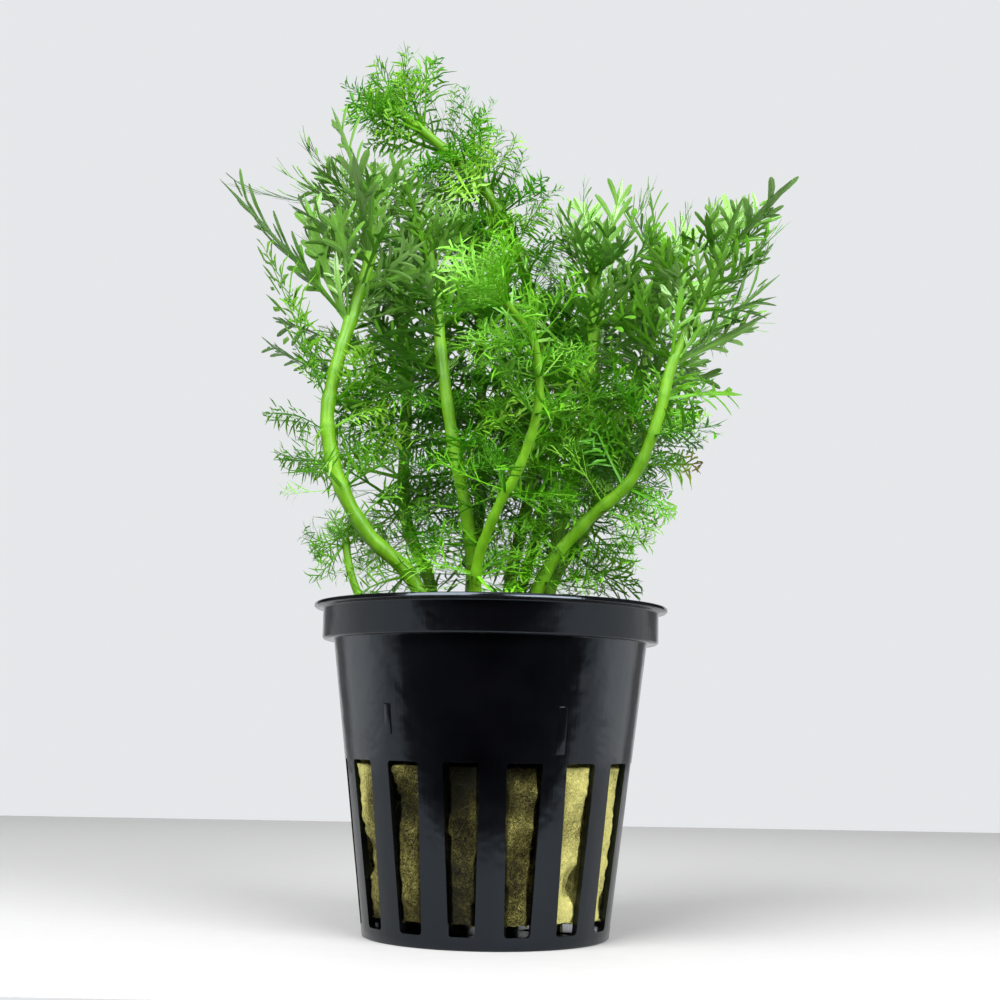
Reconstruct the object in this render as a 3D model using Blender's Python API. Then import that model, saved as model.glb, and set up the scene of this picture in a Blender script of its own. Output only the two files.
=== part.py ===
"""Giant ambulia growing in rockwool, in its black plastic net pot.

Metres, +Z up. The pot stands on z = 0 around the Z axis and its front faces -Y.
Every stem is planted in the rockwool, and every ring of leaves clasps its stem.
"""

import math
import random
from dataclasses import dataclass

import bmesh
import bpy
from mathutils import Matrix, Vector
from mathutils.bvhtree import BVHTree

MM = 0.001

# Net pot
POT_HEIGHT = 50.0 * MM
RIM_RADIUS = 27.5 * MM
LIP_THICKNESS = 0.8 * MM
BAND_HEIGHT = 5.6 * MM
BAND_RADIUS = 26.1 * MM
BODY_TOP_RADIUS = 24.3 * MM
BASE_RADIUS = 18.8 * MM
WALL = 0.9 * MM
FLOOR_THICKNESS = 1.3 * MM
POT_STEPS = 45

# Wall slots, evenly spaced, the first one turned a little from the front
SLOT_COUNT = 15
SLOT_FIRST_ANGLE = math.radians(14.0)
SLOT_BOTTOM = 1.9 * MM
SLOT_TOP = 26.3 * MM
SLOT_BOTTOM_WIDTH = 3.8 * MM
SLOT_TOP_WIDTH = 5.4 * MM
SLOT_INNER_RADIUS = 15.0 * MM
SLOT_OUTER_RADIUS = 28.0 * MM

# Drain openings in the floor
DRAIN_COUNT = 6
DRAIN_WIDTH = 2.6 * MM
DRAIN_INNER_RADIUS = 6.5 * MM
DRAIN_OUTER_RADIUS = 15.5 * MM

# Rockwool plug
GAP = 0.3 * MM
WOOL_BOTTOM = 3.2 * MM
WOOL_TOP = 46.4 * MM
WOOL_SHOULDER = 1.2 * MM
WOOL_SIDE_GAP = 0.45 * MM
WOOL_STEPS = 36

# Stems
STEM_ROOT_DEPTH = 5.0 * MM
STEM_SIDES = 8
STEM_SECTION_SPACING = 9.5 * MM
POCKET_CLEARANCE = 0.4 * MM
POCKET_EXTRA_DEPTH = 0.6 * MM

# Rings of leaves
RING_HEIGHT = 1.1 * MM
RING_CLEARANCE = 0.35 * MM
RING_WALL = 0.55 * MM
RING_LEAVES = 5
CROWN_LEAVES = 6
RING_CROWDING = 1.3
HIGH_STYLE_FROM = 0.45

# Leaves: how they would lie, and how far one gives way to its neighbours
LEAF_LOWEST_RISE = math.radians(4.0)
LEAF_RISE_GAIN = math.radians(44.0)
LEAF_RISE_SPREAD = math.radians(8.0)
LEAF_CURLS = (math.radians(-34.0), math.radians(22.0))
AIMED_CURLS = (math.radians(-26.0), math.radians(8.0))
LEAF_LENGTH_SPREAD = (0.86, 1.06)
LEAF_MOST_ROLL = math.radians(40.0)
LEAF_TURN_FREEDOM = math.radians(24.0)
LEAF_RISE_FREEDOM = math.radians(40.0)
LEAF_CURL_FREEDOM = math.radians(30.0)
LEAF_LENGTH_FREEDOM = 0.55
LEAF_THINNING = 0.35
LEAF_GAP = 0.34 * MM
LEAF_TRIES = 90
LEAF_SEED = 2024

# Modelling
MERGE_DISTANCE = 0.01 * MM
SHARP_EDGE = math.radians(35.0)
CURVE_STEPS = 40


@dataclass(frozen=True)
class LeafStyle:
    """A leaf's width at its stations; stations and widths are shares of its length."""

    stations: tuple
    widths: tuple
    thickness: float
    pointed: bool
    material: str


THREAD = LeafStyle((0.24, 0.66, 1.0), (0.07, 0.26, 0.07), 0.55 * MM, True, "thread_leaf")
FERN = LeafStyle((0.20, 0.46, 0.76, 1.0), (0.06, 0.34, 0.27, 0.06), 0.55 * MM, True, "fern_leaf")
LOBED = LeafStyle((0.22, 0.50, 0.80, 1.0), (0.07, 0.29, 0.32, 0.14), 0.6 * MM, False, "lobed_leaf")


@dataclass(frozen=True)
class StemPlan:
    """One stem: its route from the rockwool up, and the leaf rings on it."""

    name: str
    route: tuple
    foot_radius: float
    tip_radius: float
    rings: int
    first_ring: float
    low_style: LeafStyle
    high_style: LeafStyle
    low_length: float
    high_length: float


def mm_points(*points):
    """Turn route points in millimetres into vectors in metres."""
    return tuple(Vector(point) * MM for point in points)


STEM_PLANS = (
    StemPlan("left", mm_points(
        (-9.0, -4.2, 46.4), (-9.8, -4.4, 52.0), (-14.0, -5.4, 55.4), (-20.9, -7.0, 62.8),
        (-25.4, -8.0, 74.0), (-25.2, -7.0, 84.0), (-22.2, -5.2, 97.0), (-19.8, -4.0, 108.0),
        (-20.2, -3.6, 114.5)),
        1.25 * MM, 0.95 * MM, 6, 14.0 * MM, THREAD, LOBED, 12.0 * MM, 22.0 * MM),
    StemPlan("centre", mm_points(
        (-2.8, -0.2, 46.4), (-2.9, -0.8, 52.6), (-3.4, -2.6, 60.2), (-6.4, -4.0, 75.5),
        (-8.4, -3.0, 88.0), (-10.0, -0.6, 102.0), (-11.4, 0.4, 108.6)),
        1.1 * MM, 0.85 * MM, 5, 13.0 * MM, THREAD, FERN, 14.0 * MM, 16.0 * MM),
    StemPlan("front", mm_points(
        (-1.6, -6.2, 46.4), (-1.9, -7.0, 52.1), (-2.0, -10.0, 58.6), (3.0, -13.6, 67.7),
        (6.4, -16.6, 78.0), (6.2, -18.0, 86.5), (3.0, -20.4, 92.0), (0.6, -22.6, 93.8)),
        1.15 * MM, 0.8 * MM, 5, 13.0 * MM, THREAD, THREAD, 13.0 * MM, 12.0 * MM),
    StemPlan("right", mm_points(
        (5.6, -2.2, 46.4), (6.6, -2.6, 52.1), (12.6, -4.0, 61.3), (20.4, -6.6, 68.2),
        (24.8, -8.0, 77.5), (27.2, -8.2, 87.0), (32.2, -7.2, 98.0), (35.2, -6.0, 105.6)),
        1.2 * MM, 0.85 * MM, 6, 13.0 * MM, THREAD, LOBED, 11.0 * MM, 19.0 * MM),
    StemPlan("tall", mm_points(
        (2.2, 5.8, 46.4), (2.6, 6.2, 52.9), (6.0, 9.4, 70.0), (8.0, 11.4, 86.0),
        (5.8, 11.8, 103.0), (0.4, 10.2, 117.6), (-9.5, 6.6, 127.4), (-17.4, 4.0, 133.0)),
        1.1 * MM, 0.8 * MM, 6, 24.0 * MM, THREAD, FERN, 17.0 * MM, 13.0 * MM),
    StemPlan("middle_right", mm_points(
        (8.8, 2.6, 46.4), (9.0, 2.8, 52.9), (11.2, 3.6, 64.6), (14.6, 4.2, 80.0),
        (15.8, 3.6, 95.0), (16.0, 2.6, 106.0)),
        1.15 * MM, 0.9 * MM, 5, 13.0 * MM, THREAD, LOBED, 14.0 * MM, 20.0 * MM),
    StemPlan("far_right", mm_points(
        (8.0, 9.0, 46.4), (8.8, 9.6, 53.0), (14.6, 12.4, 62.8), (21.6, 15.4, 79.6),
        (26.0, 16.6, 95.7), (28.4, 16.0, 110.0)),
        1.1 * MM, 0.85 * MM, 4, 20.0 * MM, THREAD, LOBED, 14.0 * MM, 18.0 * MM),
    StemPlan("back", mm_points(
        (-3.6, 9.0, 46.4), (-3.4, 9.6, 53.8), (-2.2, 14.6, 70.0), (-2.4, 18.6, 87.0),
        (-3.4, 20.2, 105.0), (-4.4, 20.2, 113.0)),
        1.1 * MM, 0.8 * MM, 4, 20.0 * MM, THREAD, FERN, 16.0 * MM, 16.0 * MM),
    StemPlan("middle_left", mm_points(
        (-8.6, 4.0, 46.4), (-9.0, 4.4, 52.4), (-12.8, 6.8, 60.0), (-14.8, 10.0, 70.0),
        (-14.8, 12.4, 86.0), (-16.4, 12.6, 100.0), (-17.0, 12.2, 106.0)),
        1.1 * MM, 0.8 * MM, 3, 22.0 * MM, THREAD, FERN, 16.0 * MM, 18.0 * MM),
    StemPlan("young", mm_points(
        (-17.8, -3.2, 46.4), (-20.2, -3.6, 50.6), (-22.2, -3.8, 56.0), (-22.8, -3.4, 60.0)),
        0.75 * MM, 0.6 * MM, 1, 12.6 * MM, THREAD, THREAD, 8.0 * MM, 8.0 * MM),
    StemPlan("behind_right", mm_points(
        (3.8, 13.0, 46.4), (4.6, 13.8, 53.0), (8.0, 19.4, 66.0), (11.0, 24.0, 82.0),
        (12.0, 25.6, 96.0)),
        1.05 * MM, 0.8 * MM, 2, 32.0 * MM, THREAD, FERN, 16.0 * MM, 17.0 * MM),
)


# Where the tips of the leaves that shape the outline are, by ring
LEAF_TIPS = {
    "left_6": mm_points(
        (-45.5, -1.0, 118.2), (-36.7, -7.0, 119.4), (-27.3, -3.0, 130.5), (-15.0, -9.0, 120.1),
        (-5.8, 2.0, 115.7)),
    "left_5": mm_points((-32.9, -9.0, 112.0), (-10.6, 0.0, 116.7), (-15.1, -6.0, 116.6)),
    "left_4": mm_points(
        (-42.7, -3.0, 123.9), (-23.0, -9.0, 119.2), (-35.0, -9.0, 99.8), (-13.7, -9.0, 105.1)),
    "left_3": mm_points((-39.1, -2.0, 109.0), (-31.9, -10.0, 91.3), (-18.6, -11.0, 90.5)),
    "left_2": mm_points((-33.1, -6.0, 66.6), (-31.5, -9.0, 78.4), (-16.2, -13.0, 70.9)),
    "young_1": mm_points((-27.9, -6.0, 52.5), (-24.8, -9.0, 63.8)),
    "tall_6": mm_points(
        (-26.9, 2.0, 136.3), (-25.3, -2.0, 128.3), (-21.2, 6.0, 143.0), (-15.6, 8.0, 145.7),
        (-9.3, 4.0, 142.1)),
    "tall_5": mm_points(
        (-7.1, 8.0, 139.2), (-0.2, 3.0, 134.8), (-16.9, 0.0, 120.4), (-3.7, -2.0, 114.8)),
    "tall_4": mm_points((5.0, 8.0, 128.2), (11.0, 4.0, 119.8), (-9.0, 2.0, 110.2)),
    "middle_right_5": mm_points(
        (14.0, 0.0, 121.1), (9.4, -6.0, 114.0), (3.6, -8.0, 105.4), (26.3, 2.0, 122.2),
        (17.8, -12.0, 104.8)),
    "middle_right_4": mm_points((8.1, -10.0, 98.1), (23.0, -9.0, 103.2)),
    "far_right_4": mm_points(
        (25.9, 14.0, 123.5), (33.4, 12.0, 121.5), (22.6, 8.0, 117.0), (31.0, 6.0, 112.9)),
    "far_right_3": mm_points((21.0, 2.0, 106.0), (34.5, 8.0, 109.5)),
    "right_6": mm_points(
        (41.4, -3.0, 116.5), (43.6, -8.0, 111.6), (33.4, -6.0, 115.4), (28.8, -13.0, 106.8),
        (38.7, 3.0, 117.7)),
    "right_5": mm_points((46.5, -7.0, 111.5), (41.5, -14.0, 105.5), (22.5, -15.0, 104.9)),
    "right_4": mm_points((45.0, -4.0, 103.4), (43.4, -9.0, 97.4), (20.7, -13.0, 100.4)),
    "right_3": mm_points((33.2, -8.0, 75.5), (34.7, -3.0, 87.0), (16.8, -14.0, 84.5)),
    "right_2": mm_points((26.5, -5.0, 61.1), (21.7, -9.0, 54.8), (24.6, -11.0, 65.8)),
    "centre_5": mm_points((-15.5, -4.0, 108.3), (-2.4, -4.0, 114.0), (-9.1, 2.0, 117.7)),
    "centre_4": mm_points((-12.6, -10.0, 99.4), (-2.0, -8.0, 103.5)),
    "centre_3": mm_points((-20.6, -6.0, 92.8), (-18.6, -9.0, 82.5), (3.0, -7.0, 89.9)),
    "centre_2": mm_points((-17.0, -9.0, 73.1), (4.2, -9.0, 73.1)),
}


def clear_scene():
    """Remove whatever the file holds."""
    for old in list(bpy.data.objects):
        bpy.data.objects.remove(old, do_unlink=True)


def make_material(name, colour, roughness):
    """Make a plain, non-metallic Principled BSDF material."""
    material = bpy.data.materials.new(name)
    material.use_nodes = True
    shader = material.node_tree.nodes["Principled BSDF"]
    shader.inputs["Base Color"].default_value = (*colour, 1.0)
    shader.inputs["Roughness"].default_value = roughness
    shader.inputs["Metallic"].default_value = 0.0
    material.diffuse_color = (*colour, 1.0)
    return material


def add_object(name, data, material, frame=None):
    """Link a new object and give it its material and its place."""
    made = bpy.data.objects.new(name, data)
    bpy.context.collection.objects.link(made)
    if frame is not None:
        made.matrix_world = frame
    data.materials.append(material)
    return made


def turned_mesh(name, profile, steps):
    """Spin a profile of (radius, height) points once round the Z axis."""
    shape = bmesh.new()
    verts = [shape.verts.new((radius, 0.0, height)) for radius, height in profile]
    edges = [shape.edges.new(pair) for pair in zip(verts, verts[1:])]
    bmesh.ops.spin(
        shape, geom=verts + edges, axis=(0.0, 0.0, 1.0), cent=(0.0, 0.0, 0.0),
        angle=math.tau, steps=steps, use_merge=True)
    bmesh.ops.remove_doubles(shape, verts=shape.verts, dist=MERGE_DISTANCE)
    bmesh.ops.recalc_face_normals(shape, faces=shape.faces)
    mesh = bpy.data.meshes.new(name)
    shape.to_mesh(mesh)
    shape.free()
    return mesh


def shade_round(mesh):
    """Smooth the round surfaces and keep the real edges sharp."""
    mesh.shade_smooth()
    mesh.set_sharp_from_angle(angle=SHARP_EDGE)


def cut_with(target, cutter):
    """Cut one hidden wire shape out of a part."""
    cutter.hide_render = True
    cutter.display_type = "WIRE"
    cut = target.modifiers.new("cut_" + cutter.name, "BOOLEAN")
    cut.operation = "DIFFERENCE"
    cut.solver = "EXACT"
    cut.object = cutter


def seen_direction(angle):
    """Give the level direction at an angle from the front, positive to the right."""
    return Vector((math.sin(angle), -math.cos(angle), 0.0))


def tapered_block(shape, angle, near, far, low, high):
    """Add a block pointing outward at an angle; low and high are (z, width) pairs."""
    outward = seen_direction(angle)
    sideways = Vector((math.cos(angle), math.sin(angle), 0.0))
    block = bmesh.ops.create_cube(shape, size=2.0)
    for vert in block["verts"]:
        height, width = high if vert.co.z > 0.0 else low
        radius = far if vert.co.x > 0.0 else near
        side = math.copysign(width / 2.0, vert.co.y)
        vert.co = outward * radius + sideways * side + Vector((0.0, 0.0, height))


def make_pot(material):
    """Turn the pot, then cut its wall slots and the drain openings in its floor."""
    band_bottom = POT_HEIGHT - BAND_HEIGHT
    lip_bottom = POT_HEIGHT - LIP_THICKNESS
    profile = (
        (0.0, 0.0),
        (BASE_RADIUS, 0.0),
        (BODY_TOP_RADIUS, band_bottom),
        (BAND_RADIUS, band_bottom),
        (BAND_RADIUS, lip_bottom),
        (RIM_RADIUS, lip_bottom),
        (RIM_RADIUS, POT_HEIGHT),
        (BAND_RADIUS - WALL, POT_HEIGHT),
        (BAND_RADIUS - WALL, band_bottom + WALL),
        (BODY_TOP_RADIUS - WALL, band_bottom + WALL),
        (BASE_RADIUS - WALL, FLOOR_THICKNESS),
        (0.0, FLOOR_THICKNESS),
    )
    pot = add_object("pot", turned_mesh("pot", profile, POT_STEPS), material)

    openings = bmesh.new()
    for index in range(SLOT_COUNT):
        tapered_block(
            openings, SLOT_FIRST_ANGLE + index * math.tau / SLOT_COUNT,
            SLOT_INNER_RADIUS, SLOT_OUTER_RADIUS,
            (SLOT_BOTTOM, SLOT_BOTTOM_WIDTH), (SLOT_TOP, SLOT_TOP_WIDTH))
    for index in range(DRAIN_COUNT):
        tapered_block(
            openings, index * math.tau / DRAIN_COUNT,
            DRAIN_INNER_RADIUS, DRAIN_OUTER_RADIUS,
            (-FLOOR_THICKNESS, DRAIN_WIDTH), (FLOOR_THICKNESS + GAP, DRAIN_WIDTH))
    cutter_mesh = bpy.data.meshes.new("pot_openings")
    openings.to_mesh(cutter_mesh)
    openings.free()
    cutter = add_object("pot_openings", cutter_mesh, material)
    cut_with(pot, cutter)
    shade_round(pot.data)
    return pot


def pot_inner_radius(height):
    """Give the radius of the pot's tapered inside wall at a height."""
    rise = (height - FLOOR_THICKNESS) / (POT_HEIGHT - BAND_HEIGHT + WALL - FLOOR_THICKNESS)
    return BASE_RADIUS - WALL + rise * (BODY_TOP_RADIUS - BASE_RADIUS)


def make_rockwool(material):
    """Turn the rockwool plug and bore one pocket for the foot of each stem."""
    shoulder = WOOL_TOP - WOOL_SHOULDER
    profile = (
        (0.0, WOOL_BOTTOM),
        (pot_inner_radius(WOOL_BOTTOM) - WOOL_SIDE_GAP, WOOL_BOTTOM),
        (pot_inner_radius(shoulder) - WOOL_SIDE_GAP, shoulder),
        (pot_inner_radius(shoulder) - WOOL_SIDE_GAP - WOOL_SHOULDER, WOOL_TOP),
        (0.0, WOOL_TOP),
    )
    wool = add_object("rockwool", turned_mesh("rockwool", profile, WOOL_STEPS), material)

    pockets = bmesh.new()
    depth = STEM_ROOT_DEPTH + POCKET_EXTRA_DEPTH
    for plan in STEM_PLANS:
        radius = plan.foot_radius + POCKET_CLEARANCE
        centre = plan.route[0] + Vector((0.0, 0.0, WOOL_SHOULDER - depth / 2.0))
        bmesh.ops.create_cone(
            pockets, cap_ends=True, segments=STEM_SIDES, radius1=radius, radius2=radius,
            depth=depth + 2.0 * WOOL_SHOULDER, matrix=Matrix.Translation(centre))
    cutter_mesh = bpy.data.meshes.new("wool_pockets")
    pockets.to_mesh(cutter_mesh)
    pockets.free()
    cutter = add_object("wool_pockets", cutter_mesh, material)
    cut_with(wool, cutter)
    shade_round(wool.data)
    return wool


def smooth_point(points, position):
    """Read a Catmull-Rom curve through the points; position runs from 0 to their count - 1."""
    last = len(points) - 1
    index = min(int(position), last - 1)
    share = position - index
    before = points[max(index - 1, 0)]
    start = points[index]
    end = points[index + 1]
    after = points[min(index + 2, last)]
    return 0.5 * (
        2.0 * start + (end - before) * share
        + (2.0 * before - 5.0 * start + 4.0 * end - after) * share ** 2
        + (3.0 * start - before - 3.0 * end + after) * share ** 3)


def even_points(points, spacing):
    """Place points at an even spacing along the smooth curve through the given ones."""
    spans = len(points) - 1
    fine = [smooth_point(points, step / CURVE_STEPS) for step in range(CURVE_STEPS * spans + 1)]
    walked = [0.0]
    for start, end in zip(fine, fine[1:]):
        walked.append(walked[-1] + (end - start).length)
    count = max(3, round(walked[-1] / spacing))
    placed = []
    cursor = 0
    for step in range(count + 1):
        wanted = walked[-1] * step / count
        while cursor < len(fine) - 2 and walked[cursor + 1] < wanted:
            cursor += 1
        share = (wanted - walked[cursor]) / (walked[cursor + 1] - walked[cursor])
        placed.append(fine[cursor].lerp(fine[cursor + 1], min(1.0, share)))
    return placed


class Stem:
    """A tapering stem on its route, with its foot straight down in the rockwool."""

    def __init__(self, plan, material):
        self.plan = plan
        foot = plan.route[0] - Vector((0.0, 0.0, STEM_ROOT_DEPTH))
        self.line = [foot] + even_points(plan.route, STEM_SECTION_SPACING)
        self.lengths = [0.0]
        for start, end in zip(self.line, self.line[1:]):
            self.lengths.append(self.lengths[-1] + (end - start).length)
        self.length = self.lengths[-1]
        curve = bpy.data.curves.new("stem_" + plan.name, "CURVE")
        curve.dimensions = "3D"
        curve.bevel_depth = plan.foot_radius
        curve.bevel_resolution = STEM_SIDES // 4
        curve.use_fill_caps = True
        spline = curve.splines.new("POLY")
        spline.points.add(len(self.line) - 1)
        for point, place, walked in zip(spline.points, self.line, self.lengths):
            point.co = (*(place - foot), 1.0)
            point.radius = self.radius_at(walked) / plan.foot_radius
        self.object = add_object("stem_" + plan.name, curve, material, Matrix.Translation(foot))

    def radius_at(self, walked):
        """Give the stem's radius at a distance along it from the foot."""
        share = walked / self.length
        return self.plan.foot_radius + (self.plan.tip_radius - self.plan.foot_radius) * share

    def place_at(self, walked):
        """Give the centre and the direction of the stem at a distance along it."""
        index = 0
        while index < len(self.lengths) - 2 and self.lengths[index + 1] < walked:
            index += 1
        start, end = self.line[index], self.line[index + 1]
        share = (walked - self.lengths[index]) / (self.lengths[index + 1] - self.lengths[index])
        return start.lerp(end, share), (end - start).normalized()


class Obstacle:
    """A closed surface that a growing leaf has to stay clear of."""

    def __init__(self, verts, faces, owner):
        self.owner = owner
        self.tree = BVHTree.FromPolygons(verts, faces)
        self.low = Vector([min(vert[axis] for vert in verts) for axis in range(3)])
        self.high = Vector([max(vert[axis] for vert in verts) for axis in range(3)])

    def touches(self, other):
        """Say whether the two surfaces cross."""
        for axis in range(3):
            if self.low[axis] > other.high[axis] or self.high[axis] < other.low[axis]:
                return False
        return bool(self.tree.overlap(other.tree))


def obstacle_from_object(made, owner):
    """Read an object as it is built, with its modifiers or its bevel."""
    built = made.evaluated_get(bpy.context.evaluated_depsgraph_get())
    mesh = built.to_mesh()
    verts = [made.matrix_world @ vert.co for vert in mesh.vertices]
    faces = [tuple(face.vertices) for face in mesh.polygons]
    built.to_mesh_clear()
    return Obstacle(verts, faces, owner)


@dataclass
class Section:
    """One cross-section of a leaf: its centre, its two half-axes and their sizes."""

    centre: Vector
    side: Vector
    normal: Vector
    half_width: float
    half_thickness: float

    def corners(self, margin=0.0):
        """Give the four corners, pushed outward by a margin."""
        across = self.side * (self.half_width + margin)
        through = self.normal * (self.half_thickness + margin)
        return [
            self.centre - across - through,
            self.centre + across - through,
            self.centre + across + through,
            self.centre - across + through,
        ]


@dataclass
class LeafPose:
    """How a leaf lies in its ring's own frame: its direction, size, arch and twist."""

    azimuth: float
    rise: float
    length: float
    curl: float
    roll: float = 0.0

    def eased(self, freedom, chance):
        """Give a pose that is turned, bent and shortened more as the freedom grows."""
        return LeafPose(
            self.azimuth + LEAF_TURN_FREEDOM * freedom * chance.uniform(-1.0, 1.0),
            self.rise + LEAF_RISE_FREEDOM * freedom * chance.uniform(-1.0, 1.0),
            self.length * (1.0 - LEAF_LENGTH_FREEDOM * freedom),
            self.curl + LEAF_CURL_FREEDOM * freedom * chance.uniform(-1.0, 1.0),
            chance.uniform(-LEAF_MOST_ROLL, LEAF_MOST_ROLL))

    def sections(self, style, root):
        """Lay the cross-sections of a leaf along its arched midrib."""
        outward = level_direction(self.azimuth)
        across = Vector((-outward.y, outward.x, 0.0))
        laid = []
        centre = root
        passed = 0.0
        for station, width in zip(style.stations, style.widths):
            angle = self.rise + self.curl * (passed + station) / 2.0
            step = outward * math.cos(angle) + Vector((0.0, 0.0, math.sin(angle)))
            centre = centre + step * (self.length * (station - passed))
            side = Matrix.Rotation(self.roll * station, 3, step) @ across
            thickness = style.thickness * (1.0 - LEAF_THINNING * station)
            laid.append(Section(
                centre, side, step.cross(side), width * self.length / 2.0, thickness / 2.0))
            passed = station
        return laid


def level_direction(azimuth):
    """Give the direction square to a ring's axis at an azimuth."""
    return Vector((math.cos(azimuth), math.sin(azimuth), 0.0))


def leaf_obstacle(frame, start, sections, margin, owner):
    """Give the surface of a leaf, with a margin all round and past its tip."""
    rings = [start] + [section.corners(margin) for section in sections]
    end = sections[-1].centre + (sections[-1].centre - sections[-2].centre).normalized() * margin
    verts = [frame @ corner for ring in rings for corner in ring] + [frame @ end]
    faces = []
    for ring in range(len(rings) - 1):
        for corner in range(4):
            low = ring * 4 + corner
            high = ring * 4 + (corner + 1) % 4
            faces.append((low, high, high + 4, low + 4))
    last = (len(rings) - 1) * 4
    for corner in range(4):
        faces.append((last + corner, last + (corner + 1) % 4, len(verts) - 1))
    return Obstacle(verts, faces, owner)


class LeafRing:
    """The leaves of one node of a stem, joined by their bases round the stem."""

    def __init__(self, stem, number, walked, share):
        plan = stem.plan
        self.stem = stem
        self.name = f"leaf_whorl_{plan.name}_{number}"
        self.tips = LEAF_TIPS.get(f"{plan.name}_{number}", ())
        self.share = share
        self.style = plan.high_style if share > HIGH_STYLE_FROM else plan.low_style
        self.length = plan.low_length + (plan.high_length - plan.low_length) * share
        self.count = CROWN_LEAVES if share == 1.0 else RING_LEAVES
        self.half_step = math.pi / self.count
        self.bore = (stem.radius_at(walked) + RING_CLEARANCE) / math.cos(self.half_step)
        self.outer = self.bore + RING_WALL / math.cos(self.half_step)
        centre, direction = stem.place_at(walked)
        turn = direction.to_track_quat("Z", "X").to_matrix().to_4x4()
        self.frame = Matrix.Translation(centre) @ turn
        self.phase = 0.0 if number % 2 else self.half_step
        self.shape = bmesh.new()
        self.spin_bases()
        self.bases = [self.outer_face(self.azimuth(index)) for index in range(self.count)]
        self.free = list(range(self.count))

    def azimuth(self, index):
        """Give the direction in which a base looks."""
        return self.phase + 2.0 * index * self.half_step

    def spin_bases(self):
        """Spin the joined leaf bases, with one flat outer face for each leaf."""
        half = RING_HEIGHT / 2.0
        start = level_direction(self.phase - self.half_step)
        corners = ((self.bore, -half), (self.outer, -half), (self.outer, half), (self.bore, half))
        verts = [
            self.shape.verts.new(start * radius + Vector((0.0, 0.0, height)))
            for radius, height in corners]
        edges = [self.shape.edges.new(pair) for pair in zip(verts, verts[1:] + verts[:1])]
        bmesh.ops.spin(
            self.shape, geom=verts + edges, axis=(0.0, 0.0, 1.0), cent=(0.0, 0.0, 0.0),
            angle=math.tau, steps=self.count, use_merge=True)
        bmesh.ops.recalc_face_normals(self.shape, faces=self.shape.faces)

    def outer_face(self, azimuth):
        """Find the flat outer face that looks along an azimuth."""
        outward = level_direction(azimuth)
        return max(self.shape.faces, key=lambda face: face.calc_center_median().dot(outward))

    def bases_obstacle(self):
        """Give the surface of the joined leaf bases."""
        self.shape.verts.index_update()
        verts = [self.frame @ vert.co for vert in self.shape.verts]
        faces = [tuple(vert.index for vert in face.verts) for face in self.shape.faces]
        return Obstacle(verts, faces, self.name)

    def base_section(self, index):
        """Give the cross-section that a leaf starts from."""
        outward = level_direction(self.azimuth(index))
        side = Vector((-outward.y, outward.x, 0.0))
        half_width = self.outer * math.sin(self.half_step)
        return Section(
            self.bases[index].calc_center_median(), side, Vector((0.0, 0.0, 1.0)), half_width,
            RING_HEIGHT / 2.0)

    def draw_out(self, index, base, sections):
        """Extrude a base into a leaf, section by section."""
        face = self.bases[index]
        starts = base.corners()
        order = [
            min(range(len(starts)), key=lambda corner: (starts[corner] - vert.co).length)
            for vert in face.verts]
        for section in sections:
            face = bmesh.ops.extrude_discrete_faces(self.shape, faces=[face])["faces"][0]
            corners = section.corners()
            for vert, corner in zip(face.verts, order):
                vert.co = corners[corner]
        if self.style.pointed:
            bmesh.ops.pointmerge(self.shape, verts=list(face.verts), merge_co=sections[-1].centre)

    def grow(self, index, pose, chance, obstacles):
        """Grow a leaf into free space: first as it is posed, then turned, bent or shorter."""
        own = {self.name, self.stem.object.name}
        others = [other for other in obstacles if other.owner not in own]
        neighbours = [other for other in obstacles if other.owner in own]
        base = self.base_section(index)
        for attempt in range(LEAF_TRIES):
            sections = pose.eased(attempt / LEAF_TRIES, chance).sections(self.style, base.centre)
            whole = leaf_obstacle(
                self.frame, base.corners(LEAF_GAP), sections, LEAF_GAP, self.name)
            if any(whole.touches(other) for other in others):
                continue
            blade = leaf_obstacle(
                self.frame, sections[0].corners(LEAF_GAP), sections[1:], LEAF_GAP, self.name)
            if any(blade.touches(other) for other in neighbours):
                continue
            self.draw_out(index, base, sections)
            obstacles.append(leaf_obstacle(self.frame, base.corners(), sections, 0.0, self.name))
            return

    def grow_towards_tips(self, chance, obstacles):
        """Grow the leaves whose tips are known, each from the base that looks that way."""
        to_ring = self.frame.inverted()
        for tip in self.tips:
            aim = to_ring @ tip
            level = Vector((aim.x, aim.y, 0.0)).normalized()
            index = max(self.free, key=lambda item: level_direction(self.azimuth(item)).dot(level))
            self.free.remove(index)
            away = aim - self.bases[index].calc_center_median()
            curl = chance.uniform(*AIMED_CURLS)
            rise = math.atan2(away.z, math.hypot(away.x, away.y)) - curl / 2.0
            pose = LeafPose(math.atan2(away.y, away.x), rise, away.length, curl)
            self.grow(index, pose, chance, obstacles)

    def grow_the_rest(self, chance, obstacles):
        """Grow a leaf from every base that is still free."""
        for index in self.free:
            rise = LEAF_LOWEST_RISE + LEAF_RISE_GAIN * self.share
            pose = LeafPose(
                self.azimuth(index), rise + LEAF_RISE_SPREAD * chance.uniform(-1.0, 1.0),
                self.length * chance.uniform(*LEAF_LENGTH_SPREAD), chance.uniform(*LEAF_CURLS))
            self.grow(index, pose, chance, obstacles)

    def finish(self, material):
        """Make the object, with its origin on the stem's centre line."""
        if self.shape.calc_volume(signed=True) < 0.0:
            bmesh.ops.reverse_faces(self.shape, faces=self.shape.faces)
        mesh = bpy.data.meshes.new(self.name)
        self.shape.to_mesh(mesh)
        self.shape.free()
        return add_object(self.name, mesh, material, self.frame)


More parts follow.
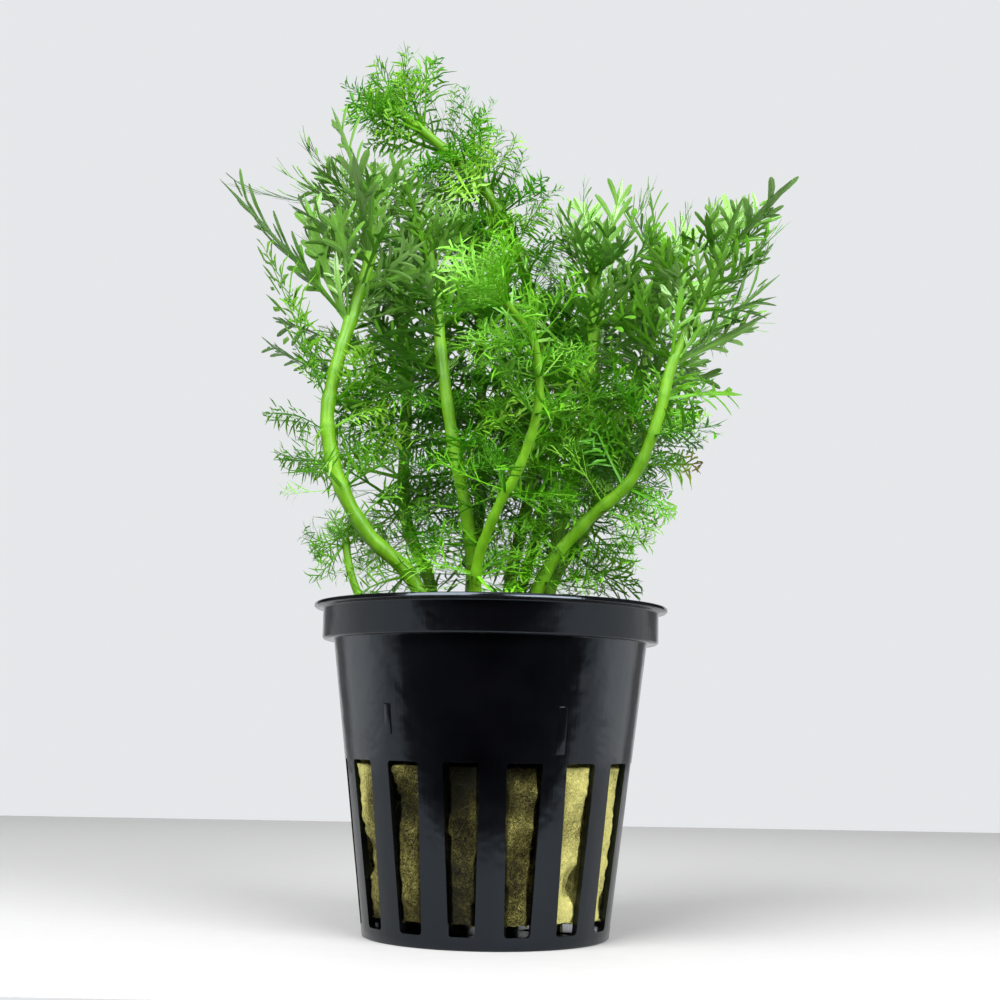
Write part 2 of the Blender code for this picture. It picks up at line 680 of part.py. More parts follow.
def ring_places(stem):
    """Share the leaf rings out along a stem, closer towards its tip."""
    plan = stem.plan
    last = stem.length - RING_HEIGHT
    first = plan.first_ring
    if plan.rings == 1:
        return [(1, last, 1.0)]
    places = []
    for index in range(plan.rings):
        share = index / (plan.rings - 1)
        climbed = 1.0 - (1.0 - share) ** RING_CROWDING
        places.append((index + 1, first + (last - first) * climbed, share))
    return places


def main():
    clear_scene()
    black_plastic = make_material("black_plastic", (0.012, 0.013, 0.016), 0.28)
    mineral_wool = make_material("mineral_wool", (0.36, 0.34, 0.07), 0.95)
    stem_green = make_material("stem_green", (0.17, 0.42, 0.02), 0.45)
    leaf_materials = {
        "thread_leaf": make_material("thread_leaf", (0.10, 0.36, 0.02), 0.5),
        "fern_leaf": make_material("fern_leaf", (0.05, 0.26, 0.02), 0.5),
        "lobed_leaf": make_material("lobed_leaf", (0.12, 0.38, 0.05), 0.45),
    }

    pot = make_pot(black_plastic)
    wool = make_rockwool(mineral_wool)
    stems = [Stem(plan, stem_green) for plan in STEM_PLANS]
    bpy.context.view_layer.update()

    rings = []
    for stem in stems:
        rings += [LeafRing(stem, *place) for place in ring_places(stem)]
    obstacles = [obstacle_from_object(made, made.name) for made in [pot, wool]]
    obstacles += [obstacle_from_object(stem.object, stem.object.name) for stem in stems]
    obstacles += [ring.bases_obstacle() for ring in rings]

    chance = random.Random(LEAF_SEED)
    rings.sort(key=lambda ring: (-ring.share, ring.frame.translation.y))
    for ring in rings:
        ring.grow_towards_tips(chance, obstacles)
    for ring in rings:
        ring.grow_the_rest(chance, obstacles)
    for ring in rings:
        ring.finish(leaf_materials[ring.style.material])


main()
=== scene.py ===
"""Giant ambulia in its black net pot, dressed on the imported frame.

Metres, +Z up. Each piece stands where its node does: the plug takes its size from its node's box, the
stems follow their nodes' centre lines and the leaves their nodes' midribs. The pot repeats its node's sizes.
"""

import logging
import math
import random
from collections.abc import Callable, Iterable
from dataclasses import dataclass, field
from enum import Enum

import bmesh
import bpy
from mathutils import Matrix, Quaternion, Vector


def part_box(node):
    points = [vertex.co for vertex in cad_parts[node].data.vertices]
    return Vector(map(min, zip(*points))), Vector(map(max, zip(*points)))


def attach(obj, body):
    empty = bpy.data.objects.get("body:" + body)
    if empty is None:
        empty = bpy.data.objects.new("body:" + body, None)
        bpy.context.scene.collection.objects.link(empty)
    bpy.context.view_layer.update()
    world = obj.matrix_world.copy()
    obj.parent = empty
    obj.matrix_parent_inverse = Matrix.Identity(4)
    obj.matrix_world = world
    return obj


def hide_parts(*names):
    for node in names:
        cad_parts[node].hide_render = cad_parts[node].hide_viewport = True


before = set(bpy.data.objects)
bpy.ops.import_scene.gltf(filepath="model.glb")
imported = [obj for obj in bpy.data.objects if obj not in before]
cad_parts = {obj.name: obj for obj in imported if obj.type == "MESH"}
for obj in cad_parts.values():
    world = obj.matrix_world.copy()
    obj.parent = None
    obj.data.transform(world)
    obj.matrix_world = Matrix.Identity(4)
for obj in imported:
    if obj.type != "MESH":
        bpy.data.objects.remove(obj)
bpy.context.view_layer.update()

LOG = logging.getLogger("ambulia")
MM = 0.001
MERGE_DISTANCE = 0.002 * MM
ROOT_DEPTH = 0.8
ORIGIN = Matrix.Identity(4)

Piece = bpy.types.Object
Material = bpy.types.Material
Socket = bpy.types.NodeSocket
Corner = bmesh.types.BMVert
Colour = tuple[float, float, float]
Value = Socket | float | Colour


class LeafKind(Enum):
    """The three forms of leaf that the plant bears."""

    THREAD = "thread"
    FERN = "fern"
    LOBED = "lobed"


def start_clean() -> None:
    """Leave edit mode and deselect everything."""
    if bpy.context.object is not None and bpy.context.object.mode != "OBJECT":
        bpy.ops.object.mode_set(mode="OBJECT")
    bpy.ops.object.select_all(action="DESELECT")


def take_up(made: Piece) -> None:
    """Make one object the only selected and active one.

    Args:
        made: the object to work on.
    """
    start_clean()
    made.select_set(True)
    bpy.context.view_layer.objects.active = made


def name_it(name: str) -> Piece:
    """Name the object that was added last.

    Args:
        name: its new name, for the object and its mesh.

    Returns:
        The object.
    """
    made = bpy.context.object
    made.name = name
    made.data.name = name
    return made


def settle(made: Piece) -> None:
    """Put an object's place, turn and scale into its mesh.

    Args:
        made: the object to settle.
    """
    take_up(made)
    bpy.ops.object.transform_apply(location=True, rotation=True, scale=True)


def pick(made: Piece, parts: str, test: Callable[[Vector, Vector], bool]) -> None:
    """Select the vertices, edges or faces of the mesh in edit mode that pass a test.

    Args:
        made: the object in edit mode.
        parts: verts, edges or faces.
        test: says by its centre and its normal whether one is selected. An edge has a zero normal.
    """
    bpy.ops.mesh.select_mode(type={"verts": "VERT", "edges": "EDGE", "faces": "FACE"}[parts])
    bpy.ops.mesh.select_all(action="DESELECT")
    shape = bmesh.from_edit_mesh(made.data)
    for part in getattr(shape, parts):
        if parts == "faces":
            centre, normal = part.calc_center_median(), part.normal
        elif parts == "edges":
            centre, normal = (part.verts[0].co + part.verts[1].co) / 2.0, Vector()
        else:
            centre, normal = part.co, part.normal
        if test(centre, normal):
            part.select_set(True)
    bmesh.update_edit_mesh(made.data)


def apply_modifier(made: Piece, kind: str, **settings) -> None:
    """Add a modifier, set it up and apply it.

    Args:
        made: the object that gets it.
        kind: the modifier's type.
        **settings: its settings by name.
    """
    take_up(made)
    added = made.modifiers.new(kind.lower(), kind)
    for key, value in settings.items():
        setattr(added, key, value)
    bpy.ops.object.modifier_apply(modifier=added.name)


def join_all(pieces: list[Piece], name: str) -> Piece:
    """Join several objects into one.

    Args:
        pieces: the objects, the first of which takes the others in.
        name: the name of the joined object.

    Returns:
        The joined object.
    """
    start_clean()
    for piece in pieces:
        piece.select_set(True)
    bpy.context.view_layer.objects.active = pieces[0]
    if len(pieces) > 1:
        bpy.ops.object.join()
    return name_it(name)


def copy_piece(source: Piece, place: Matrix) -> Piece:
    """Copy an object with a mesh of its own, placed by a matrix that goes into the mesh.

    Args:
        source: the object to copy.
        place: where the copy goes.

    Returns:
        The copy, linked to the scene.
    """
    made = source.copy()
    made.data = source.data.copy()
    made.data.transform(place)
    bpy.context.collection.objects.link(made)
    made.hide_render = False
    return made


def put_away(made: Piece) -> None:
    """Delete a pattern object that the finished scene doesn't show.

    Args:
        made: the object to delete.
    """
    bpy.data.objects.remove(made, do_unlink=True)


def coat(made: Piece, skin: Material) -> None:
    """Give a piece one material in place of any that it has.

    Args:
        made: the piece.
        skin: its material.
    """
    made.data.materials.clear()
    made.data.materials.append(skin)


def fresh_map(made: Piece, name: str) -> bpy.types.MeshUVLoopLayer:
    """Give a piece one UV map in place of any that it has.

    Args:
        made: the piece.
        name: the map's name.

    Returns:
        The map, to be filled in.
    """
    while made.data.uv_layers:
        made.data.uv_layers.remove(made.data.uv_layers[0])
    return made.data.uv_layers.new(name=name)


def middle_of(corners: Iterable[Corner]) -> Vector:
    """Give the mean place of some points of a mesh."""
    places = [corner.co for corner in corners]
    return sum(places, Vector()) / len(places)


def outward_at(angle: float) -> Vector:
    """Give the level direction from the pot's axis at an angle from the front, positive to the right."""
    return Vector((math.sin(angle), -math.cos(angle), 0.0))


@dataclass(frozen=True)
class Cloud:
    """One noise pattern: its scale, its detail, its roughness and how far it curls into itself."""

    scale: float
    detail: float = 3.0
    roughness: float = 0.5
    curl: float = 0.0


@dataclass(frozen=True)
class Relief:
    """How a pattern stands out of a surface: its depth in metres and its strength."""

    depth: float
    strength: float


class Sheet:
    """A node tree, with short ways to add and join nodes."""

    def __init__(self, tree: bpy.types.NodeTree) -> None:
        """Take up a tree."""
        self.tree = tree

    def node(self, kind: str, **settings) -> bpy.types.Node:
        """Add a node and set its properties and the defaults of its inputs.

        Args:
            kind: the node's type, without the ShaderNode in front.
            **settings: properties by name, or inputs by name with _ for a space.

        Returns:
            The node.
        """
        added = self.tree.nodes.new("ShaderNode" + kind)
        for key, value in settings.items():
            socket = key.replace("_", " ")
            if socket in added.inputs:
                added.inputs[socket].default_value = value
            else:
                setattr(added, key, value)
        return added

    def join(self, start: Socket, end: Socket) -> None:
        """Link an output to an input."""
        self.tree.links.new(start, end)

    def feed(self, socket: Socket, value: Value) -> None:
        """Link an output to an input, or set the input to a plain value.

        Args:
            socket: the input.
            value: an output, a number or a colour.
        """
        if isinstance(value, Socket):
            self.join(value, socket)
        elif isinstance(value, tuple):
            socket.default_value = (*value, 1.0)
        else:
            socket.default_value = value

    def split(self, vector: Socket) -> list[Socket]:
        """Split a vector into its three parts."""
        added = self.node("SeparateXYZ")
        self.join(vector, added.inputs[0])
        return list(added.outputs)

    def ramp(self, value: Socket, *stops: tuple[float, Colour], blend: str = "LINEAR") -> Socket:
        """Turn a value into a colour through a ramp.

        Args:
            value: the value.
            *stops: pairs of position and colour.
            blend: how one stop passes into the next.

        Returns:
            The colour output.
        """
        added = self.node("ValToRGB")
        band = added.color_ramp
        band.interpolation = blend
        while len(band.elements) < len(stops):
            band.elements.new(0.5)
        for element, (position, colour) in zip(band.elements, stops):
            element.position = position
            element.color = (*colour, 1.0)
        self.join(value, added.inputs["Fac"])
        return added.outputs["Color"]

    def mix(self, share: Socket | float, first: Value, second: Value) -> Socket:
        """Mix two colours.

        Args:
            share: how much of the second one, as a value or a socket.
            first: the first colour or its socket.
            second: the second colour or its socket.

        Returns:
            The mixed colour.
        """
        added = self.node("Mix", data_type="RGBA")
        for value, index in ((share, 0), (first, 6), (second, 7)):
            self.feed(added.inputs[index], value)
        return added.outputs[2]

    def math(self, operation: str, *values: Socket | float, clamp: bool = False) -> Socket:
        """Work out one value from one, two or three.

        Args:
            operation: the Math node's operation.
            *values: numbers or sockets.
            clamp: whether the result is kept from 0 to 1.

        Returns:
            The result.
        """
        added = self.node("Math", operation=operation, use_clamp=clamp)
        for socket, value in zip(added.inputs, values):
            self.feed(socket, value)
        return added.outputs[0]

    def weigh(self, base: float, *terms: tuple[Socket, float]) -> Socket:
        """Add up values, each times its own weight.

        Args:
            base: the number that they are added to.
            *terms: pairs of a value and its weight.

        Returns:
            The sum.
        """
        total = base
        for value, weight in terms:
            total = self.math("MULTIPLY_ADD", value, weight, total)
        return total


class Finish(Sheet):
    """The node tree of one material."""

    def __init__(self, name: str) -> None:
        """Start a material that has only its shader and output.

        Args:
            name: the material's name.
        """
        self.material = bpy.data.materials.new(name)
        self.material.use_nodes = True
        super().__init__(self.material.node_tree)
        self.shader = self.tree.nodes["Principled BSDF"]
        self.output = self.tree.nodes["Material Output"]

    def set(self, socket: str, value: float | tuple) -> None:
        """Set a value on the shader's own socket."""
        self.shader.inputs[socket].default_value = value

    def mapped(self, place: Socket, scale: tuple[float, float, float]) -> Socket:
        """Scale a vector by axis."""
        mapping = self.node("Mapping", Scale=scale)
        self.join(place, mapping.inputs["Vector"])
        return mapping.outputs["Vector"]

    def object_place(self, scale: tuple[float, float, float] = (1.0, 1.0, 1.0)) -> Socket:
        """Give the object coordinates, scaled by axis."""
        return self.mapped(self.node("TexCoord").outputs["Object"], scale)

    def uv(self, name: str) -> Socket:
        """Give the place on a UV map."""
        return self.node("UVMap", uv_map=name).outputs["UV"]

    def noise(self, place: Socket, cloud: Cloud) -> Socket:
        """Add a noise on a place.

        Args:
            place: the vector that it reads.
            cloud: its settings.

        Returns:
            The noise's value, from 0 to 1.
        """
        added = self.node("TexNoise", Scale=cloud.scale, Detail=cloud.detail, Roughness=cloud.roughness,
                          Distortion=cloud.curl)
        self.join(place, added.inputs["Vector"])
        return added.outputs["Fac"]

    def bumps(self, *layers: tuple[Socket, Relief]) -> Socket:
        """Lay patterns over each other, the lowest first, and turn them into one normal.

        Args:
            *layers: pairs of a height, from 0 to 1, and its relief.

        Returns:
            The normal output.
        """
        normal = None
        for height, relief in layers:
            added = self.node("Bump", Distance=relief.depth, Strength=relief.strength)
            self.join(height, added.inputs["Height"])
            if normal is not None:
                self.join(normal, added.inputs["Normal"])
            normal = added.outputs["Normal"]
        return normal

    def cover(self, colour: Socket, roughness: Socket, normal: Socket) -> None:
        """Join the shader's three patterned inputs.

        Args:
            colour: the base colour.
            roughness: the roughness.
            normal: the normal.
        """
        for name, value in (("Base Color", colour), ("Roughness", roughness), ("Normal", normal)):
            self.join(value, self.shader.inputs[name])


@dataclass(frozen=True)
class LeafFinish:
    """The skin of one form of leaf: deep green at the base, paler at the tips.

    The LeafMap UV map holds the place along the leaf in U and the leaf's own shade in V. The VeinMap UV map
    holds the nearness to a lobe's midrib in U.
    """

    name: str
    deep: Colour
    middle: Colour
    pale: Colour
    glow: Colour
    roughness: float = 0.42
    glow_share: float = 0.34
    gloss: float = 0.35
    glow_depth: float = 0.35
    withered_tip: tuple[float, float, float] = (32.3 * MM, -7.4 * MM, 72.1 * MM)
    withered_reach: float = 4.2 * MM
    brown: Colour = (0.075, 0.028, 0.010)
    tan: Colour = (0.32, 0.20, 0.020)
    mottle: Cloud = Cloud(420.0, 4.0, 0.6)
    broad: Cloud = Cloud(45.0, 2.0)
    grain: Cloud = Cloud(2600.0, 3.0, 0.6)
    grain_relief: Relief = Relief(0.05 * MM, 0.5)
    mottle_relief: Relief = Relief(0.12 * MM, 0.4)
    vein_relief: Relief = Relief(0.10 * MM, 0.5)
    vein_sharpness: float = 5.0
    vein_paleness: float = 0.45

    def wither(self, sheet: Finish, place: Socket, colour: Socket) -> Socket:
        """Brown the leaf near the one withered tip.

        Args:
            sheet: the material in the making.
            place: the object coordinates.
            colour: the healthy colour.

        Returns:
            The colour with the withered tip.
        """
        apart = sheet.node("VectorMath", operation="DISTANCE")
        sheet.join(place, apart.inputs[0])
        apart.inputs[1].default_value = self.withered_tip
        away = sheet.math("DIVIDE", apart.outputs["Value"], self.withered_reach)
        withered = sheet.ramp(away, (0.10, self.brown), (0.32, self.tan))
        share = sheet.math("POWER", sheet.math("SUBTRACT", 1.0, away, clamp=True), 0.5)
        return sheet.mix(share, colour, withered)

    def make(self) -> Material:
        """Build the material.

        Returns:
            The material.
        """
        sheet = Finish(self.name)
        place = sheet.object_place()
        along, shade, _ = sheet.split(sheet.uv("LeafMap"))
        vein = sheet.math("POWER", sheet.split(sheet.uv("VeinMap"))[0], self.vein_sharpness)
        mottle = sheet.noise(place, self.mottle)
        broad = sheet.noise(place, self.broad)
        tone = sheet.weigh(-0.15, (shade, 0.72), (broad, 0.36), (mottle, 0.30), (along, 0.16))
        colour = sheet.ramp(tone, (0.18, self.deep), (0.55, self.middle), (0.95, self.pale))
        colour = sheet.mix(sheet.math("MULTIPLY", vein, self.vein_paleness), colour, self.pale)
        colour = self.wither(sheet, place, colour)
        normal = sheet.bumps((sheet.noise(place, self.grain), self.grain_relief),
                             (mottle, self.mottle_relief), (vein, self.vein_relief))
        sheet.cover(colour, sheet.weigh(self.roughness - 0.12, (mottle, 0.25)), normal)
        sheet.set("Specular IOR Level", self.gloss)
        glow = sheet.node("BsdfTranslucent")
        sheet.join(sheet.mix(self.glow_depth, self.glow, colour), glow.inputs["Color"])
        blend = sheet.node("MixShader")
        for socket, value in zip(blend.inputs, (self.glow_share, sheet.shader.outputs[0], glow.outputs[0])):
            sheet.feed(socket, value)
        sheet.join(blend.outputs[0], sheet.output.inputs["Surface"])
        return sheet.material


@dataclass(frozen=True)
class StemFinish:
    """The juicy skin of a stem, with fine lengthwise ribs and marks at its nodes.

    The StemMap UV map holds the nearness to a node in U and the height share in V.
    """

    name: str = "stem_skin"
    shaded: Colour = (0.050, 0.16, 0.003)
    bright: Colour = (0.14, 0.33, 0.008)
    node_mark: Colour = (0.06, 0.19, 0.004)
    ribs: Cloud = Cloud(1500.0, 2.0)
    rib_stretch: tuple[float, float, float] = (1.0, 1.0, 0.06)
    rib_relief: Relief = Relief(0.10 * MM, 0.5)
    blotch: Cloud = Cloud(160.0, 4.0, 0.6)
    mark_sharpness: float = 3.0
    mark_strength: float = 0.65
    gloss: float = 0.25
    flesh: float = 0.25
    flesh_depth: tuple[float, float, float] = (0.5 * MM, 0.9 * MM, 0.12 * MM)

    def make(self) -> Material:
        """Build the material.

        Returns:
            The material.
        """
        sheet = Finish(self.name)
        nearness = sheet.split(sheet.uv("StemMap"))[0]
        ribs = sheet.noise(sheet.object_place(self.rib_stretch), self.ribs)
        blotch = sheet.noise(sheet.object_place(), self.blotch)
        tone = sheet.weigh(0.0, (ribs, 0.35), (blotch, 0.75))
        colour = sheet.ramp(tone, (0.25, self.shaded), (0.78, self.bright))
        marked = sheet.math("POWER", nearness, self.mark_sharpness)
        colour = sheet.mix(sheet.math("MULTIPLY", marked, self.mark_strength), colour, self.node_mark)
        sheet.cover(colour, sheet.weigh(0.30, (blotch, 0.30)), sheet.bumps((ribs, self.rib_relief)))
        sheet.set("Specular IOR Level", self.gloss)
        sheet.set("Subsurface Weight", self.flesh)
        sheet.set("Subsurface Radius", self.flesh_depth)
        sheet.set("Subsurface Scale", 1.0)
        return sheet.material


@dataclass(frozen=True)
class PlasticFinish:
    """Glossy black moulded plastic: faintly clouded and rippled, with fine draw marks up the wall."""

    name: str = "black_moulded_plastic"
    black: Colour = (0.0004, 0.0004, 0.0007)
    dusty: Colour = (0.0018, 0.0018, 0.0024)
    sheen: Colour = (0.72, 0.86, 1.0)
    bending: float = 1.43
    mark_pitch: float = 0.5 * MM
    mark_length: float = 14.0 * MM
    cloud: Cloud = Cloud(90.0, 4.0, 0.55)
    smear: Cloud = Cloud(420.0, 3.0, 0.6, 0.8)
    grain: Cloud = Cloud(3200.0, 2.0)
    ripple: Cloud = Cloud(210.0, 2.0)
    marks: Cloud = Cloud(1.0, 3.0, 0.6)
    grain_relief: Relief = Relief(0.006 * MM, 0.3)
    ripple_relief: Relief = Relief(0.14 * MM, 0.8)
    mark_relief: Relief = Relief(0.022 * MM, 0.6)

    def make(self) -> Material:
        """Build the material. Its draw marks are what the mould leaves as the pot is drawn out of it.

        Returns:
            The material.
        """
        sheet = Finish(self.name)
        place = sheet.object_place()
        cloud = sheet.noise(place, self.cloud)
        smear = sheet.noise(place, self.smear)
        drawn = sheet.mapped(sheet.uv("PotMap"), (1.0 / self.mark_pitch, 1.0 / self.mark_length, 1.0))
        marks = sheet.noise(drawn, self.marks)
        normal = sheet.bumps((sheet.noise(place, self.grain), self.grain_relief),
                             (sheet.noise(place, self.ripple), self.ripple_relief), (marks, self.mark_relief))
        sheet.cover(sheet.ramp(cloud, (0.3, self.black), (0.8, self.dusty)),
                    sheet.weigh(0.0, (cloud, 0.10), (smear, 0.14), (marks, 0.08)), normal)
        sheet.set("IOR", self.bending)
        sheet.set("Specular Tint", (*self.sheen, 1.0))
        return sheet.material


@dataclass(frozen=True)
class WoolFinish:
    """Damp mineral wool: matted yellow-green fibres, with painted shade in its hollows and across the middle
    of the front.

    The WoolMap UV map holds the depth below the plug's smooth wall in U and a loose fibre's paleness in V.
    """

    name: str = "mineral_wool"
    dark: Colour = (0.004, 0.004, 0.0008)
    olive: Colour = (0.075, 0.066, 0.010)
    straw: Colour = (0.80, 0.76, 0.25)
    pale: Colour = (0.55, 0.53, 0.22)
    # Painted shade across the middle of the front, with painted side light that grows towards the wool's left
    # and right.
    painted_shade_middle: float = -4.5 * MM
    painted_shade_half_width: float = 14.0 * MM
    painted_side_light_sharpness: float = 6.0
    mat: Cloud = Cloud(520.0, 9.0, 0.74, 3.5)
    curls: Cloud = Cloud(1300.0, 6.0, 0.7, 5.0)
    stains: Cloud = Cloud(95.0, 4.0, 0.6)
    waves: Cloud = Cloud(1000.0, 3.0, 0.55, 4.0)
    strand_sharpness: float = 14.0
    mat_relief: Relief = Relief(0.6 * MM, 0.8)
    curl_relief: Relief = Relief(0.4 * MM, 0.9)
    strand_relief: Relief = Relief(0.15 * MM, 0.8)
    gloss: float = 0.12

    def make(self) -> Material:
        """Build the material.

        Returns:
            The material.
        """
        sheet = Finish(self.name)
        place = sheet.object_place()
        sunk, paleness, _ = sheet.split(sheet.uv("WoolMap"))
        mat = sheet.noise(place, self.mat)
        curls = sheet.noise(place, self.curls)
        stains = sheet.noise(place, self.stains)
        waves = sheet.math("ABSOLUTE", sheet.math("SUBTRACT", sheet.noise(place, self.waves), 0.5))
        waves = sheet.math("MULTIPLY", waves, self.strand_sharpness)
        strands = sheet.math("SUBTRACT", 1.0, waves, clamp=True)
        # Painted side light: the wool turns paler away from the middle of the front, which stays in painted
        # shade.
        off_middle = sheet.math("SUBTRACT", sheet.split(place)[0], self.painted_shade_middle)
        off_middle = sheet.math("ABSOLUTE", off_middle)
        sideways = sheet.math("DIVIDE", off_middle, self.painted_shade_half_width)
        painted_side_light = sheet.math("POWER", sheet.math("MINIMUM", sideways, 1.0), self.painted_side_light_sharpness)
        # The depth below the smooth wall (sunk) darkens the hollows as painted shade; the side term adds the
        # painted side light.
        tone = sheet.weigh(-1.204, (mat, 0.65), (curls, 0.75), (stains, 1.2), (strands, 0.34), (sunk, -0.42),
                           (painted_side_light, 0.54))
        colour = sheet.ramp(tone, (0.12, self.dark), (0.40, self.olive), (0.95, self.straw))
        colour = sheet.mix(sheet.math("MULTIPLY", paleness, 0.3), colour, self.pale)
        normal = sheet.bumps((mat, self.mat_relief), (curls, self.curl_relief), (strands, self.strand_relief))
        sheet.cover(colour, sheet.weigh(0.6, (mat, 0.3)), normal)
        sheet.set("Specular IOR Level", self.gloss)
        return sheet.material


@dataclass(frozen=True)
class FloorFinish:
    """A plain pale floor."""

    name: str = "pale_floor"
    colour: Colour = (0.33, 0.33, 0.33)
    darker: float = 0.97
    grain: Cloud = Cloud(300.0)
    roughness: float = 0.7

    def make(self) -> Material:
        """Build the material.

        Returns:
            The material.
        """
        sheet = Finish(self.name)
        grain = sheet.noise(sheet.object_place(), self.grain)
        shaded = tuple(part * self.darker for part in self.colour)
        sheet.join(sheet.ramp(grain, (0.3, shaded), (0.7, self.colour)), sheet.shader.inputs["Base Color"])
        sheet.set("Roughness", self.roughness)
        return sheet.material


@dataclass
class StemLine:
    """The centre line and the radius of one stem, read from its node in the frame."""

    name: str
    points: list[Vector] = field(default_factory=list)
    radii: list[float] = field(default_factory=list)

    @classmethod
    def read(cls, node: str) -> "StemLine":
        """Walk a stem's node from its foot up, one round of corners after another.

        Args:
            node: the node's name.

        Returns:
            The stem's line.
        """
        shape = merged_shape(node)
        lowest = min(vert.co.z for vert in shape.verts)
        layer = [vert for vert in shape.verts if vert.co.z < lowest + 0.2 * MM]
        line = cls(node.removeprefix("stem_"))
        for corners in layers_from(layer):
            centre = middle_of(corners)
            line.points.append(centre)
            line.radii.append(sum((vert.co - centre).length for vert in corners) / len(corners))
        shape.free()
        return line

    def measure(self) -> list[float]:
        """Give the distance walked to each point of the line."""
        walked = [0.0]
        for start, end in zip(self.points, self.points[1:]):
            walked.append(walked[-1] + (end - start).length)
        return walked

    def at(self, walked: float) -> tuple[Vector, Vector, float]:
        """Read the smooth line at a distance from the foot.

        Args:
            walked: the distance along the line.

        Returns:
            The place, the direction and the radius.
        """
        marks = self.measure()
        index = 0
        while index < len(marks) - 2 and marks[index + 1] < walked:
            index += 1
        share = min(1.0, max(0.0, (walked - marks[index]) / (marks[index + 1] - marks[index])))
        before = self.points[max(index - 1, 0)]
        start, end = self.points[index], self.points[index + 1]
        after = self.points[min(index + 2, len(self.points) - 1)]
        lead = (end - before) * 0.5
        trail = (after - start) * 0.5
        square, cube = share * share, share ** 3
        place = (start * (2 * cube - 3 * square + 1) + lead * (cube - 2 * square + share)
                 + end * (3 * square - 2 * cube) + trail * (cube - square))
        slope = (start * (6 * square - 6 * share) + lead * (3 * square - 4 * share + 1)
                 + end * (6 * share - 6 * square) + trail * (3 * square - 2 * share))
        radius = self.radii[index] + (self.radii[index + 1] - self.radii[index]) * share
        return place, slope.normalized(), radius

    def nearest(self, place: Vector) -> tuple[float, float]:
        """Find how near the line comes to a place.

        Args:
            place: any point.

        Returns:
            The distance from the line, and the distance walked to there.
        """
        best = (1.0, 0.0)
        walked = 0.0
        for start, end in zip(self.points, self.points[1:]):
            run = end - start
            share = min(1.0, max(0.0, (place - start).dot(run) / run.length_squared))
            away = (place - (start + run * share)).length
            if away < best[0]:
                best = (away, walked + run.length * share)
            walked += run.length
        return best


def merged_shape(node: str) -> bmesh.types.BMesh:
    """Copy a node's mesh with its doubled points merged.

    Args:
        node: the node's name.

    Returns:
        The merged copy, which the caller frees.
    """
    shape = bmesh.new()
    shape.from_mesh(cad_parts[node].data)
    bmesh.ops.remove_doubles(shape, verts=shape.verts, dist=MERGE_DISTANCE)
    return shape


def layers_from(first: list[Corner], left_out: set[Corner] | None = None) -> list[list[Corner]]:
    """Sort a mesh's points into layers by the number of edges to the first ones.

    Args:
        first: the points of the first layer.
        left_out: points that the walk doesn't enter.

    Returns:
        The layers, the first one included.
    """
    seen = set(first) | (left_out or set())
    layers = [list(first)]
    while layers[-1]:
        reached = []
        for vert in layers[-1]:
            for edge in vert.link_edges:
                other = edge.other_vert(vert)
                if other not in seen:
                    seen.add(other)
                    reached.append(other)
        layers.append(reached)
    return layers[:-1]


@dataclass
class LeafSpine:
    """Where one leaf starts and ends, how it lies and how much it arches."""

    root: Vector
    tip: Vector
    normal: Vector
    arch: float
    width: float

    def length(self) -> float:
        """Give the straight length from root to tip."""
        return (self.tip - self.root).length


@dataclass
class RingPlace:
    """One ring of leaves, read from its node in the frame."""

    node: str
    centre: Vector
    walked: float
    spines: list[LeafSpine]

    @classmethod
    def read(cls, node: str, stem: StemLine, count: int) -> "RingPlace":
        """Find the leaves in a ring's node: what is left when its joined bases are left out.

        Args:
            node: the ring's node.
            stem: the stem that it is on.
            count: how many bases the ring has.

        Returns:
            The ring with its leaves' midribs.
        """
        shape = merged_shape(node)
        inner = sorted(shape.verts, key=lambda vert: stem.nearest(vert.co)[0])[:2 * count]
        bases = set(inner) | {edge.other_vert(vert) for vert in inner for edge in vert.link_edges}
        centre = middle_of(inner)
        starts = {
            edge.other_vert(vert) for vert in bases for edge in vert.link_edges
            if edge.other_vert(vert) not in bases}
        spines = []
        while starts:
            group = cls.same_leaf(min(starts, key=lambda vert: vert.index), starts, bases)
            starts -= set(group)
            sections = layers_from(group, bases)
            centres = [middle_of(section) for section in sections]
            widest = max(sections, key=lambda layer: max(
                (a.co - b.co).length for a in layer for b in layer))
            spines.append(cls.spine(centre, stem, centres, widest))
        shape.free()
        return cls(node, centre, stem.nearest(centre)[1], spines)

    @staticmethod
    def same_leaf(start: Corner, starts: set[Corner], bases: set[Corner]) -> list[Corner]:
        """Find the first section of the leaf that a point belongs to.

        Args:
            start: one point of the section.
            starts: the first points of all the ring's leaves.
            bases: the points of the joined bases.

        Returns:
            The points of the section.
        """
        reached = {vert for layer in layers_from([start], bases) for vert in layer}
        return sorted(starts & reached, key=lambda vert: vert.index)

    def mean_length(self) -> float:
        """Give the mean length of the ring's leaves."""
        return sum(spine.length() for spine in self.spines) / len(self.spines)

    @staticmethod
    def spine(centre: Vector, stem: StemLine, centres: list[Vector], widest: list[Corner]) -> LeafSpine:
        """Work out a leaf's spine from the centres of its sections.

        Args:
            centre: the ring's centre.
            stem: the stem that it is on.
            centres: the centres of the sections, from the base to the tip.
            widest: the corners of the widest section.

        Returns:
            The leaf's spine, which starts on the stem's skin.
        """
        _, direction, radius = stem.at(stem.nearest(centre)[1])
        outward = centres[0] - centre
        outward = (outward - direction * outward.dot(direction)).normalized()
        root = centre + outward * radius * ROOT_DEPTH
        tip = centres[-1]
        chord = (tip - root).normalized()
        pairs = [(a.co - b.co, (a.co - b.co).length) for a in widest for b in widest if a is not b]
        side = max(pairs, key=lambda pair: pair[1])
        across = side[0] - chord * side[0].dot(chord)
        normal = chord.cross(across).normalized()
        if normal.dot(direction) < 0.0:
            normal = -normal
        middle = centres[len(centres) // 2]
        away = middle - root
        arch = (away - chord * away.dot(chord)).dot(normal) / (tip - root).length
        return LeafSpine(root, tip, normal, arch, side[1])


